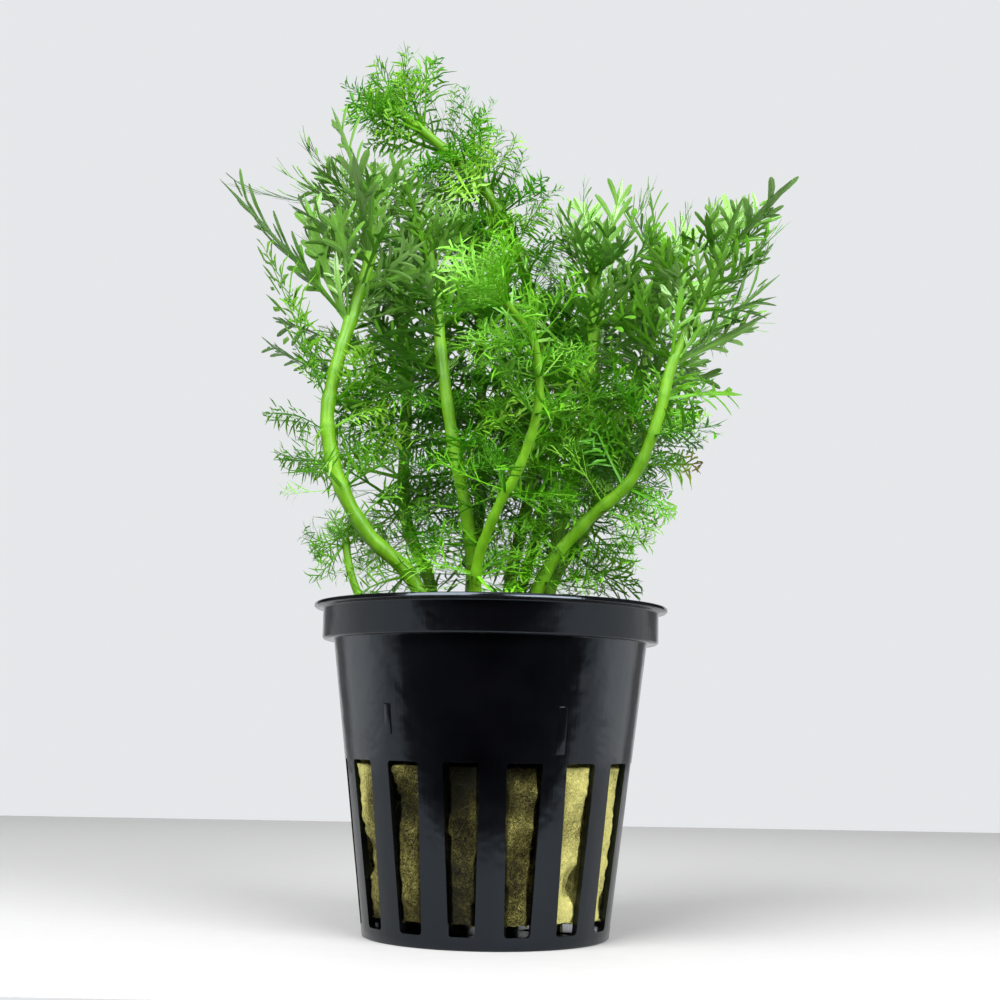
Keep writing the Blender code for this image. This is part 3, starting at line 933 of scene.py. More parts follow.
@dataclass(frozen=True)
class Bow:
    """How a piece that lies along X is bent: by how much, and how far the bend leans out of its plane."""

    degrees: float = 0.0
    lean: float = 0.0

    def turned(self) -> Matrix:
        """Give the turn that brings the bend into the piece's plane."""
        return Matrix.Rotation(math.radians(self.lean), 4, "X")

    def apply(self, made: Piece) -> None:
        """Bend a piece.

        Args:
            made: the piece, which starts at the origin.
        """
        if self.degrees:
            made.data.transform(self.turned())
            apply_modifier(made, "SIMPLE_DEFORM", deform_method="BEND", deform_axis="Z",
                           angle=math.radians(self.degrees))
            made.data.transform(self.turned().inverted())

    def at(self, length: float, share: float) -> Matrix:
        """Give the seat for a side piece at a place along the bent one.

        Args:
            length: the bent piece's length.
            share: the place along it, from 0 to 1.

        Returns:
            The place and direction there.
        """
        if not self.degrees:
            return Matrix.Translation((length * share, 0.0, 0.0))
        whole = math.radians(self.degrees)
        reached = whole * share
        arc = Matrix.Translation((
            length * math.sin(reached) / whole, -length * (1.0 - math.cos(reached)) / whole, 0.0))
        return self.turned().inverted() @ arc @ Matrix.Rotation(-reached, 4, "Z") @ self.turned()


class Blades:
    """The small closed blades that every leaf is put together from, one unit long."""

    FLAT = 0.10
    ROUND = 0.16

    def __init__(self) -> None:
        """Model each kind of blade once."""
        self.lance = self.blade(
            "lance_blade", (0.0, 0.30, 0.62, 0.88, 1.0), (0.45, 0.76, 1.0, 0.86, 0.34), self.FLAT)
        self.tooth = self.blade("tooth_blade", (0.0, 0.60, 1.0), (0.60, 1.0, 0.30), self.FLAT)
        self.pinna = self.blade("pinna_blade", (0.0, 0.6, 1.0), (0.80, 1.0, 0.20), self.ROUND)
        self.leaflet = self.blade("leaflet_blade", (0.0, 0.62, 1.0), (0.75, 1.0, 0.15), self.FLAT)
        self.midrib = self.blade(
            "midrib_blade", (0.0, 0.16, 0.34, 0.52, 0.70, 0.86, 1.0),
            (0.78, 0.52, 0.66, 0.96, 1.0, 0.84, 0.08), self.FLAT)
        self.stalk = self.blade(
            "stalk_blade", (0.0, 0.2, 0.4, 0.6, 0.8, 1.0), (1.15, 0.95, 0.85, 0.70, 0.50, 0.25), self.ROUND)

    def blade(self, name: str, places: tuple[float, ...], widths: tuple[float, ...],
              thickness: float) -> Piece:
        """Extrude a flat diamond along X, wider and narrower from place to place.

        Args:
            name: the blade's name.
            places: where its stations are, from 0 to 1.
            widths: the half-widths there.
            thickness: how thick it is, as a share of its width.

        Returns:
            The blade, with a half-width of 1 and a length of 1.
        """
        start_clean()
        bpy.ops.mesh.primitive_circle_add(vertices=4, radius=widths[0], fill_type="NGON")
        made = name_it(name)
        made.rotation_euler = (math.radians(90.0), 0.0, math.radians(90.0))
        settle(made)
        made.data.transform(Matrix.Diagonal((1.0, 1.0, thickness, 1.0)))
        bpy.ops.object.mode_set(mode="EDIT")
        bpy.ops.mesh.select_all(action="SELECT")
        for index in range(1, len(places)):
            step = places[index] - places[index - 1]
            bpy.ops.mesh.extrude_region_move(TRANSFORM_OT_translate={"value": (step, 0.0, 0.0)})
            ratio = widths[index] / widths[index - 1]
            bpy.ops.transform.resize(value=(1.0, ratio, ratio), center_override=(places[index], 0.0, 0.0))
        bpy.ops.mesh.select_all(action="SELECT")
        bpy.ops.mesh.normals_make_consistent(inside=False)
        bpy.ops.object.mode_set(mode="OBJECT")
        layer = fresh_map(made, "VeinMap")
        for loop in made.data.loops:
            on_rib = abs(made.data.vertices[loop.vertex_index].co.y) < 1e-4
            layer.data[loop.index].uv = (1.0 if on_rib else 0.0, 0.5)
        made.hide_render = True
        return made

    def clear(self) -> None:
        """Delete the blades once every leaf is put together."""
        for made in (self.lance, self.tooth, self.pinna, self.leaflet, self.midrib, self.stalk):
            put_away(made)


@dataclass
class LeafPattern:
    """One leaf of unit length along X, put together flat and then bent."""

    kind: LeafKind
    seed: int
    pairs: int
    first_pair: float
    last_pair: float
    spread: float
    lobe_length: float
    lobe_width: float
    rib_width: float
    cup: float

    BENDS = (-75.0, -45.0, -20.0, 5.0, 32.0)

    @staticmethod
    def lay(source: Piece, seat: Matrix, length: float, width: float,
            bow: Bow = Bow()) -> Piece:
        """Copy a blade, bend it and set it into the leaf.

        Args:
            source: the blade to copy.
            seat: where it starts and how it lies.
            length: its length.
            width: its half-width.
            bow: its bend.

        Returns:
            The placed blade.
        """
        made = copy_piece(source, Matrix.Diagonal((length, width, width, 1.0)))
        bow.apply(made)
        made.data.transform(seat)
        return made

    @staticmethod
    def fork(seat: Matrix, turn: float, lift: float) -> Matrix:
        """Turn a seat sideways and out of the leaf's plane, both in degrees."""
        sideways = Matrix.Rotation(math.radians(turn), 4, "Z")
        return seat @ sideways @ Matrix.Rotation(math.radians(-lift), 4, "Y")

    def side_seats(self, chance: random.Random) -> list[tuple[float, float, Matrix]]:
        """Spread the side pieces along the midrib, in pairs that are a little out of step.

        Args:
            chance: the source of small differences.

        Returns:
            For each one its side, -1 or 1, its share of the way up and its seat.
        """
        seats = []
        for index in range(self.pairs):
            share = index / (self.pairs - 1)
            for side in (-1.0, 1.0):
                along = self.first_pair + (self.last_pair - self.first_pair) * share
                along += side * chance.uniform(0.005, 0.03)
                turn = side * (self.spread * (1.0 - 0.32 * share) + chance.uniform(-6.0, 6.0))
                lift = self.cup + chance.uniform(-12.0, 12.0)
                seats.append((side, share, self.fork(Matrix.Translation((along, 0.0, 0.0)), turn, lift)))
        return seats

    def lobed(self, blades: Blades, chance: random.Random) -> list[Piece]:
        """Lay out a broad leaf: a flat midrib with pairs of lance-like lobes, some of them toothed.

        Args:
            blades: the blades to copy.
            chance: the source of small differences.

        Returns:
            The placed blades.
        """
        placed = [self.lay(blades.midrib, ORIGIN, 1.0, self.rib_width)]
        for side, share, seat in self.side_seats(chance):
            length = self.lobe_length * (1.0 - 0.9 * (share - 0.4) ** 2) * chance.uniform(0.85, 1.12)
            width = self.lobe_width * chance.uniform(0.85, 1.15)
            bow = Bow(side * chance.uniform(12.0, 32.0), -side * 35.0)
            placed.append(self.lay(blades.lance, seat, length, width, bow))
            for where, angle, part in ((0.40, 30.0, 0.44), (0.50, -27.0, 0.38)):
                if chance.random() < 0.38:
                    base = self.fork(seat @ bow.at(length, where), side * (angle + chance.uniform(-6.0, 6.0)),
                                     chance.uniform(-8.0, 8.0))
                    placed.append(self.lay(blades.tooth, base, length * part, width * 0.75))
        return placed

    def ferny(self, blades: Blades, chance: random.Random) -> list[Piece]:
        """Lay out a feathery leaf: a thin rib with pairs of drooping side ribs that carry narrow leaflets.

        Args:
            blades: the blades to copy.
            chance: the source of small differences.

        Returns:
            The placed blades.
        """
        placed = [self.lay(blades.stalk, ORIGIN, 1.0, self.rib_width)]
        for side, share, seat in self.side_seats(chance):
            fullness = math.sin(math.pi * (0.30 + 0.58 * share)) ** 0.6
            length = self.lobe_length * fullness * chance.uniform(0.85, 1.12)
            width = self.lobe_width * chance.uniform(0.85, 1.15)
            bow = Bow(side * chance.uniform(25.0, 60.0), -side * 55.0)
            placed.append(self.lay(blades.pinna, seat, length, width * 0.8, bow))
            for where, angle in ((0.36, 34.0), (0.52, -30.0), (0.72, 28.0))[:2 if share > 0.6 else 3]:
                part = length * chance.uniform(0.44, 0.62) * (1.15 - 0.5 * where)
                base = self.fork(seat @ bow.at(length, where), side * (angle + chance.uniform(-8.0, 8.0)),
                                 chance.uniform(-16.0, 16.0))
                curl = Bow(side * math.copysign(chance.uniform(25.0, 60.0), angle), -side * 50.0)
                placed.append(self.lay(blades.leaflet, base, part, width, curl))
        return placed

    def thready(self, blades: Blades, chance: random.Random) -> list[Piece]:
        """Lay out a thread leaf: a long stalk, then thin arms that fork and fork again.

        Args:
            blades: the blades to copy.
            chance: the source of small differences.

        Returns:
            The placed blades.
        """
        placed = [self.lay(blades.stalk, ORIGIN, 0.97, self.rib_width)]
        for side, share, seat in self.side_seats(chance):
            length = self.lobe_length * (1.0 - 0.42 * share) * chance.uniform(0.8, 1.15)
            bow = Bow(side * chance.uniform(15.0, 40.0), -side * chance.uniform(10.0, 80.0))
            placed.append(self.lay(blades.pinna, seat, length, self.lobe_width, bow))
            for where, angle in ((0.42, -28.0), (0.56, 32.0), (0.78, -26.0))[:2 if share > 0.6 else 3]:
                base = self.fork(seat @ bow.at(length, where), side * (angle + chance.uniform(-9.0, 9.0)),
                                 chance.uniform(-22.0, 22.0))
                degrees = side * math.copysign(chance.uniform(30.0, 70.0), angle)
                curl = Bow(degrees, -side * chance.uniform(10.0, 80.0))
                placed.append(self.lay(blades.leaflet, base, length * chance.uniform(0.46, 0.68),
                                       self.lobe_width * 0.9, curl))
        return placed

    def model(self, blades: Blades) -> list[Piece]:
        """Join the blades into a leaf and bend it by several amounts.

        Args:
            blades: the blades to copy.

        Returns:
            The leaf at each bend, with its chord along X and one unit long.
        """
        layouts = {LeafKind.LOBED: self.lobed, LeafKind.FERN: self.ferny, LeafKind.THREAD: self.thready}
        placed = layouts[self.kind](blades, random.Random(self.seed))
        flat = join_all(placed, f"{self.kind.value}_leaf_{self.seed}")
        longest = max(vert.co.x for vert in flat.data.vertices)
        flat.data.transform(Matrix.Diagonal((1.0 / longest, 1.0, 1.0, 1.0)))
        layer = flat.data.uv_layers.new(name="LeafMap")
        for loop in flat.data.loops:
            place = flat.data.vertices[loop.vertex_index].co
            layer.data[loop.index].uv = (min(1.0, math.hypot(place.x, 1.6 * place.y)), 0.5)
        take_up(flat)
        bpy.ops.object.shade_smooth_by_angle(angle=math.radians(60.0))
        bent = [self.bend(flat, angle) for angle in self.BENDS]
        put_away(flat)
        return bent

    def bend(self, flat: Piece, degrees: float) -> Piece:
        """Bend a copy of the leaf out of its plane and set its chord back on X.

        Args:
            flat: the unbent leaf.
            degrees: the bend over its whole length, positive towards +Z.

        Returns:
            The bent copy.
        """
        made = copy_piece(flat, ORIGIN)
        made.name = f"{flat.name}_bend_{degrees:.0f}"
        tip = max(range(len(flat.data.vertices)), key=lambda index: flat.data.vertices[index].co.x)
        Bow(degrees, 90.0).apply(made)
        end = made.data.vertices[tip].co
        made.data.transform(Matrix.Rotation(math.atan2(end.z, end.x), 4, "Y"))
        reach = made.data.vertices[tip].co.x
        made.data.transform(Matrix.Scale(1.0 / reach, 4))
        made.hide_render = True
        return made


@dataclass
class LeafStock:
    """The stock of bent leaves of every form, to copy from.

    The numbers of a pattern follow the order of LeafPattern's fields, from its seed to its cup.
    """

    patterns: tuple[LeafPattern, ...] = (
        LeafPattern(LeafKind.LOBED, 11, 3, 0.28, 0.66, 34.0, 0.42, 0.025, 0.030, 6.0),
        LeafPattern(LeafKind.LOBED, 12, 3, 0.34, 0.70, 30.0, 0.40, 0.028, 0.034, 10.0),
        LeafPattern(LeafKind.LOBED, 13, 4, 0.22, 0.72, 38.0, 0.36, 0.021, 0.026, 2.0),
        LeafPattern(LeafKind.LOBED, 14, 2, 0.42, 0.70, 28.0, 0.42, 0.033, 0.044, 4.0),
        LeafPattern(LeafKind.FERN, 21, 5, 0.24, 0.84, 50.0, 0.38, 0.017, 0.020, 8.0),
        LeafPattern(LeafKind.FERN, 22, 4, 0.30, 0.82, 44.0, 0.42, 0.019, 0.022, 14.0),
        LeafPattern(LeafKind.FERN, 23, 6, 0.20, 0.86, 54.0, 0.34, 0.015, 0.019, 2.0),
        LeafPattern(LeafKind.THREAD, 31, 3, 0.40, 0.74, 38.0, 0.48, 0.014, 0.019, 8.0),
        LeafPattern(LeafKind.THREAD, 32, 2, 0.50, 0.74, 30.0, 0.52, 0.016, 0.021, 14.0),
        LeafPattern(LeafKind.THREAD, 33, 4, 0.30, 0.80, 44.0, 0.42, 0.013, 0.018, 2.0),
    )
    stock: dict[LeafKind, list[list[Piece]]] = field(default_factory=dict)

    def build(self) -> None:
        """Model every leaf at every bend."""
        blades = Blades()
        for pattern in self.patterns:
            self.stock.setdefault(pattern.kind, []).append(pattern.model(blades))
        blades.clear()

    def leaf(self, kind: LeafKind, spine: LeafSpine, shade: float, chance: random.Random) -> Piece:
        """Copy the leaf whose bend suits a spine and lay it there.

        Args:
            kind: the leaf's form.
            spine: where it goes.
            shade: its own shade, from 0, dark, to 1, pale.
            chance: the choice among the leaves of that form.

        Returns:
            The leaf.
        """
        bends = chance.choice(self.stock[kind])
        wanted = math.degrees(-8.0 * spine.arch)
        index = min(range(len(bends)), key=lambda item: abs(LeafPattern.BENDS[item] - wanted))
        chord = (spine.tip - spine.root).normalized()
        across = spine.normal.cross(chord).normalized()
        length = spine.length()
        girth = min(1.25, max(0.8, (16.0 * MM / length) ** 0.5))
        turn = Matrix((chord, across * girth, chord.cross(across) * girth)).transposed().to_4x4()
        made = copy_piece(bends[index], Matrix.Translation(spine.root) @ turn @ Matrix.Scale(length, 4))
        layer = made.data.uv_layers["LeafMap"].data
        values = [0.0] * (2 * len(layer))
        layer.foreach_get("uv", values)
        values[1::2] = [shade] * len(layer)
        layer.foreach_set("uv", values)
        return made

    def clear(self) -> None:
        """Delete the stock once every leaf is copied."""
        for leaves in self.stock.values():
            for bends in leaves:
                for made in bends:
                    put_away(made)


@dataclass
class NetPot:
    """The black net pot: a turned wall and lip, cut slots and drains, and two raised pads."""

    height: float = 50.0 * MM
    rim_radius: float = 27.5 * MM
    lip_thickness: float = 0.8 * MM
    band_height: float = 5.6 * MM
    band_radius: float = 26.1 * MM
    body_top_radius: float = 24.3 * MM
    base_radius: float = 18.8 * MM
    wall: float = 0.9 * MM
    floor: float = 1.3 * MM
    segments: int = 180
    slot_count: int = 15
    slot_first: float = math.radians(14.0)
    slot_heights: tuple[float, float] = (1.9 * MM, 26.3 * MM)
    slot_widths: tuple[float, float] = (3.8 * MM, 5.4 * MM)
    drain_count: int = 6
    drain_width: float = 2.6 * MM
    drain_reach: tuple[float, float] = (6.5 * MM, 15.5 * MM)
    pads: tuple[tuple[float, float, float, float], ...] = (
        (-39.5, 32.3 * MM, 1.3 * MM, 4.6 * MM),
        (27.5, 31.0 * MM, 1.7 * MM, 7.2 * MM),
    )
    pad_rise: float = 0.16 * MM
    slot_corner: float = 0.5 * MM
    drain_corner: float = 0.4 * MM
    edge_softening: float = 0.12 * MM

    def taper(self) -> float:
        """Give how much the body widens for each metre of its height."""
        return (self.body_top_radius - self.base_radius) / (self.height - self.band_height)

    def slot_angle(self, index: int) -> float:
        """Give the angle of a slot's middle from the front, positive to the right."""
        return self.slot_first + index * math.tau / self.slot_count

    def profile(self) -> list[tuple[float, float]]:
        """Give the wall's outline, from the underside up, over the lip and down inside.

        Returns:
            Pairs of radius and height.
        """
        band_bottom = self.height - self.band_height
        lip_bottom = self.height - self.lip_thickness
        soft = 0.25 * MM
        inner_band = self.band_radius - self.wall
        inner_body = self.body_top_radius - self.wall
        return [
            (self.base_radius - soft, 0.0), (self.base_radius, soft),
            (self.body_top_radius - 0.02 * MM, band_bottom - soft),
            (self.body_top_radius + 0.05 * MM, band_bottom),
            (self.band_radius - soft, band_bottom), (self.band_radius, band_bottom + soft),
            (self.band_radius, lip_bottom - soft), (self.band_radius + soft, lip_bottom),
            (self.rim_radius - soft, lip_bottom + 0.05 * MM), (self.rim_radius, lip_bottom + soft),
            (self.rim_radius - 0.05 * MM, self.height - soft * 0.6), (self.rim_radius - soft, self.height),
            (inner_band + soft, self.height), (inner_band, self.height - soft),
            (inner_band, band_bottom + self.wall), (inner_body, band_bottom + self.wall - 0.02 * MM),
            (self.base_radius - self.wall, self.floor),
        ]

    def turn_wall(self) -> Piece:
        """Extrude a circle through the outline, ring after ring, and close both ends.

        Returns:
            The uncut pot.
        """
        outline = self.profile()
        start_clean()
        bpy.ops.mesh.primitive_circle_add(
            vertices=self.segments, radius=outline[0][0], fill_type="NGON",
            location=(0.0, 0.0, outline[0][1]))
        made = name_it("pot_body")
        settle(made)
        bpy.ops.object.mode_set(mode="EDIT")
        pick(made, "edges", lambda centre, _: True)
        for (radius, height), (wider, higher) in zip(outline, outline[1:]):
            bpy.ops.mesh.extrude_edges_move(TRANSFORM_OT_translate={"value": (0.0, 0.0, higher - height)})
            ratio = wider / radius
            bpy.ops.transform.resize(value=(ratio, ratio, 1.0), center_override=(0.0, 0.0, higher))
        bpy.ops.mesh.edge_face_add()
        bpy.ops.mesh.select_all(action="SELECT")
        bpy.ops.mesh.normals_make_consistent(inside=False)
        bpy.ops.object.mode_set(mode="OBJECT")
        return made

    def cutter(self, angle: float, reach: tuple[float, float], heights: tuple[float, float],
               widths: tuple[float, float], corner: float) -> Piece:
        """Model one rounded opening as a block that points outward.

        Args:
            angle: its angle from the front, positive to the right.
            reach: its inner and outer radius.
            heights: its bottom and top.
            widths: its width at the bottom and at the top.
            corner: the radius of its corners.

        Returns:
            The block.
        """
        start_clean()
        bpy.ops.mesh.primitive_cube_add(size=1.0)
        made = name_it("opening")
        made.scale = (widths[0], reach[1] - reach[0], heights[1] - heights[0])
        made.location = (0.0, -(reach[0] + reach[1]) / 2.0, (heights[0] + heights[1]) / 2.0)
        settle(made)
        bpy.ops.object.mode_set(mode="EDIT")
        pick(made, "faces", lambda _, normal: normal.z > 0.9)
        bpy.ops.transform.resize(value=(widths[1] / widths[0], 1.0, 1.0))
        middle = -(reach[0] + reach[1]) / 2.0
        pick(made, "edges", lambda centre, _: abs(centre.y - middle) < 0.01 * MM)
        bpy.ops.mesh.bevel(offset=corner, segments=4)
        bpy.ops.object.mode_set(mode="OBJECT")
        made.data.transform(Matrix.Rotation(angle, 4, "Z"))
        return made

    def pad(self, degrees: float, height: float, width: float, tall: float) -> Piece:
        """Model one small raised pad that stands out of the tapered wall.

        Args:
            degrees: its angle from the front, positive to the right.
            height: the height of its centre.
            width: its width.
            tall: its height from end to end.

        Returns:
            The pad.
        """
        share = height / (self.height - self.band_height)
        radius = self.base_radius + (self.body_top_radius - self.base_radius) * share
        lean = Matrix.Rotation(math.atan(self.taper()), 4, "X")
        start_clean()
        bpy.ops.mesh.primitive_cube_add(size=1.0)
        made = name_it("pad")
        made.scale = (width, 2.0 * self.pad_rise, tall)
        settle(made)
        bpy.ops.object.mode_set(mode="EDIT")
        pick(made, "faces", lambda _, normal: normal.y < -0.9)
        bpy.ops.transform.resize(value=(0.75, 1.0, 0.93))
        bpy.ops.mesh.bevel(offset=0.06 * MM, segments=2)
        bpy.ops.object.mode_set(mode="OBJECT")
        seat = Matrix.Translation((0.0, -radius - 0.02 * MM, height))
        made.data.transform(Matrix.Rotation(math.radians(degrees), 4, "Z") @ seat @ lean)
        take_up(made)
        bpy.ops.object.shade_smooth_by_angle(angle=math.radians(35.0))
        return made

    def build(self, plastic: Material) -> Piece:
        """Turn the wall, cut its openings, soften the edges and add the pads.

        Args:
            plastic: the pot's material.

        Returns:
            The finished pot.
        """
        made = self.turn_wall()
        cutters = [
            self.cutter(self.slot_angle(index), (self.base_radius - 4.0 * MM, self.rim_radius),
                        self.slot_heights, self.slot_widths, self.slot_corner)
            for index in range(self.slot_count)]
        cutters += [
            self.cutter(index * math.tau / self.drain_count, self.drain_reach,
                        (-self.floor, self.floor * 1.3), (self.drain_width, self.drain_width),
                        self.drain_corner)
            for index in range(self.drain_count)]
        openings = join_all(cutters, "openings")
        apply_modifier(made, "BOOLEAN", operation="DIFFERENCE", solver="EXACT", object=openings)
        put_away(openings)
        take_up(made)
        bpy.ops.object.mode_set(mode="EDIT")
        for height in (self.slot_heights[0] - 0.5 * MM, self.slot_heights[1] + 0.6 * MM):
            bpy.ops.mesh.select_all(action="SELECT")
            bpy.ops.mesh.bisect(plane_co=(0.0, 0.0, height), plane_no=(0.0, 0.0, 1.0))
        bpy.ops.object.mode_set(mode="OBJECT")
        made.data.shade_smooth()
        apply_modifier(made, "BEVEL", width=self.edge_softening, segments=2, limit_method="ANGLE",
                       angle_limit=math.radians(50.0), harden_normals=True)
        made = join_all([made] + [self.pad(*sizes) for sizes in self.pads], "net_pot")
        self.map_surface(made)
        coat(made, plastic)
        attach(made, "root")
        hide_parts("pot")
        return made

    def map_surface(self, made: Piece) -> None:
        """Roll the wall out flat into the PotMap UV map, in metres, so that the draw marks run up it.

        Args:
            made: the finished pot.
        """
        layer = fresh_map(made, "PotMap")
        for face in made.data.polygons:
            middle = math.atan2(face.center.x, -face.center.y)
            for index in face.loop_indices:
                place = made.data.vertices[made.data.loops[index].vertex_index].co
                angle = math.atan2(place.x, -place.y)
                angle += math.tau * round((middle - angle) / math.tau)
                radius = math.hypot(place.x, place.y)
                layer.data[index].uv = (angle * self.body_top_radius + 0.5, place.z - 0.7 * radius + 0.5)


@dataclass
class RockwoolPlug:
    """The plug of mineral wool: a rough turned block, sunk in places, with loose fibres in the slots."""

    pot: NetPot
    steps: int = 280
    layers: int = 90
    fibres: int = 1600
    fibre_bends: tuple[float, ...] = (-90.0, -55.0, -20.0, 20.0, 55.0, 90.0)
    fibre_girth: tuple[float, float] = (0.009, 0.028)
    lowest_fibre: float = 1.7 * MM
    bulge: float = 1.6 * MM
    sag: float = 1.1 * MM
    rag_turns: tuple[float, float] = (-0.06, 0.05)
    rag_size: float = 1.5 * MM
    bulge_margin: float = 0.12 * MM
    bulge_heights: tuple[float, float] = (3.0 * MM, 25.9 * MM)
    deepest: float = 2.6 * MM
    seed: int = 7
    hollows: tuple[tuple[float, float, float, float], ...] = (
        (-14.0, 22.0 * MM, 4.5 * MM, 2.0 * MM), (-10.0, 15.5 * MM, 3.5 * MM, 1.6 * MM),
        (14.0, 26.5 * MM, 4.0 * MM, 1.8 * MM), (19.0, 14.0 * MM, 2.4 * MM, 1.3 * MM),
        (43.0, 9.0 * MM, 2.6 * MM, 1.8 * MM), (-37.0, 20.0 * MM, 4.0 * MM, 1.2 * MM),
        (-66.0, 12.0 * MM, 3.0 * MM, 1.4 * MM), (120.0, 15.0 * MM, 5.0 * MM, 1.8 * MM),
        (170.0, 20.0 * MM, 4.0 * MM, 1.6 * MM), (-130.0, 10.0 * MM, 4.0 * MM, 1.6 * MM))

    def build(self, wool: Material) -> Piece:
        """Model the plug inside its node's box and cover it with fibres.

        Args:
            wool: its material.

        Returns:
            The finished plug.
        """
        low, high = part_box("rockwool")
        top_radius = (high.x - low.x) / 2.0
        bottom_radius = top_radius - (high.z - low.z) * self.pot.taper()
        start_clean()
        bpy.ops.mesh.primitive_cone_add(
            vertices=self.steps, radius1=bottom_radius, radius2=top_radius, depth=high.z - low.z,
            end_fill_type="TRIFAN", location=(0.0, 0.0, (low.z + high.z) / 2.0))
        made = name_it("rockwool_plug")
        settle(made)
        bpy.ops.object.mode_set(mode="EDIT")
        for step in range(1, self.layers):
            height = low.z + (high.z - low.z) * step / self.layers
            bpy.ops.mesh.select_all(action="SELECT")
            bpy.ops.mesh.bisect(plane_co=(0.0, 0.0, height), plane_no=(0.0, 0.0, 1.0))
        pick(made, "faces", lambda centre, normal: abs(normal.z) > 0.9)
        bpy.ops.mesh.subdivide(number_cuts=5)
        bpy.ops.object.mode_set(mode="OBJECT")
        self.roughen(made)
        self.map_depth(made, bottom_radius, top_radius, low.z, high.z)
        made = join_all([made] + self.loose_fibres(low.z, high.z, bottom_radius, top_radius), "rockwool_plug")
        made.data.shade_smooth()
        coat(made, wool)
        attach(made, "root")
        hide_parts("rockwool")
        return made

    def roughen(self, made: Piece) -> None:
        """Press the hollows in, then push the surface inward by coarse and fine clouds.

        Args:
            made: the smooth plug.
        """
        take_up(made)
        bpy.ops.object.mode_set(mode="EDIT")
        for degrees, height, radius, depth in self.hollows:
            outward = outward_at(math.radians(degrees))
            pick(made, "verts", lambda place, _: abs(place.z - height) < radius * 0.35 and
                 place.xy.normalized().dot(outward.xy) > 0.9995)
            bpy.ops.transform.translate(
                value=outward * -depth, use_proportional_edit=True, proportional_edit_falloff="SMOOTH",
                proportional_size=radius)
        chance = random.Random(self.seed)
        for slot in range(self.pot.slot_count):
            angle = self.pot.slot_angle(slot)
            outward = outward_at(angle)
            pick(made, "verts", lambda place, _: self.bulge_heights[0] < place.z < self.bulge_heights[1] and
                 place.xy.length > 0.85 * self.pot.base_radius and place.xy.dot(outward.xy) > 0.0 and
                 abs(place.x * outward.y - place.y * outward.x) < self.slot_half_width(place.z))
            bpy.ops.transform.translate(
                value=outward * self.bulge * chance.uniform(0.75, 1.0), use_proportional_edit=True,
                proportional_edit_falloff="SMOOTH", proportional_size=0.4 * MM)
            for turn in self.rag_turns:
                rag = outward_at(angle + turn)
                pick(made, "verts", lambda place, _: place.z < self.bulge_heights[0] + self.bulge_margin and
                     place.xy.length > 0.85 * self.pot.base_radius and
                     place.xy.normalized().dot(rag.xy) > 0.9998)
                bpy.ops.transform.translate(
                    value=(0.0, 0.0, -self.sag * chance.uniform(0.1, 1.0)), use_proportional_edit=True,
                    proportional_edit_falloff="SMOOTH", proportional_size=self.rag_size)
        bpy.ops.object.mode_set(mode="OBJECT")
        for name, scale, depth in (("coarse", 4.0, 1.0), ("fine", 1.0, 0.45)):
            clouds = bpy.data.textures.new("wool_" + name, "CLOUDS")
            clouds.noise_scale = scale * MM
            clouds.noise_depth = 3
            apply_modifier(made, "DISPLACE", texture=clouds, texture_coords="LOCAL", strength=depth * MM,
                           mid_level=0.85)

    def slot_half_width(self, height: float) -> float:
        """Give half the width that the wool may fill in a slot at a height."""
        low, high = self.pot.slot_heights
        narrow, wide = self.pot.slot_widths
        return (narrow + (wide - narrow) * (height - low) / (high - low)) / 2.0 - self.bulge_margin

    def map_depth(self, made: Piece, bottom_radius: float, top_radius: float, low: float,
                  high: float) -> None:
        """Write how deep the surface lies into the WoolMap UV map; the wool's finish darkens the deep parts
        as painted shade.

        Args:
            made: the roughened plug.
            bottom_radius: its smooth radius at the bottom.
            top_radius: its smooth radius at the top.
            low: its underside.
            high: its top.
        """
        layer = fresh_map(made, "WoolMap")
        for loop in made.data.loops:
            place = made.data.vertices[loop.vertex_index].co
            smooth = bottom_radius + (top_radius - bottom_radius) * (place.z - low) / (high - low)
            depth = min(smooth - place.xy.length, high - place.z)
            layer.data[loop.index].uv = (min(1.0, max(0.0, depth / self.deepest)), 0.0)

    def loose_fibres(self, low: float, high: float, bottom_radius: float,
                     top_radius: float) -> list[Piece]:
        """Scatter thin curved fibres over the wool that the slots show, more of them near its lower edge.

        Args:
            low: the plug's underside.
            high: the plug's top.
            bottom_radius: its radius at the bottom.
            top_radius: its radius at the top.

        Returns:
            The fibres.
        """
        chance = random.Random(self.seed)
        blades = Blades()
        bent = []
        for degrees in self.fibre_bends:
            made = copy_piece(blades.stalk, Matrix.Diagonal((1.0, *self.fibre_girth, 1.0)))
            Bow(degrees, chance.uniform(-20.0, 20.0)).apply(made)
            made.data.uv_layers[0].name = "WoolMap"
            bent.append(made)
        placed = []
        for _ in range(self.fibres):
            slot = chance.randrange(self.pot.slot_count)
            angle = self.pot.slot_angle(slot) + chance.uniform(-0.14, 0.14)
            share = 0.60 * chance.random() ** 2
            height = low + (high - low) * share
            radius = bottom_radius + (top_radius - bottom_radius) * share - chance.uniform(0.0, 0.5) * MM
            length = chance.uniform(0.8, 2.6) * MM
            place = (Matrix.Rotation(angle, 4, "Z") @ Matrix.Translation((0.0, -radius, height))
                     @ Matrix.Rotation(math.radians(90.0), 4, "X")
                     @ Matrix.Rotation(chance.uniform(0.0, math.tau), 4, "Z")
                     @ Matrix.Rotation(math.radians(chance.uniform(-12.0, 8.0)), 4, "Y")
                     @ Matrix.Scale(length, 4))
            fibre = copy_piece(chance.choice(bent), place)
            lowest = min(vert.co.z for vert in fibre.data.vertices)
            if lowest < self.lowest_fibre:
                fibre.data.transform(Matrix.Translation((0.0, 0.0, self.lowest_fibre - lowest)))
            paleness = chance.random() ** 3
            for corner in fibre.data.uv_layers["WoolMap"].data:
                corner.uv = (0.0, paleness)
            placed.append(fibre)
        for made in bent:
            put_away(made)
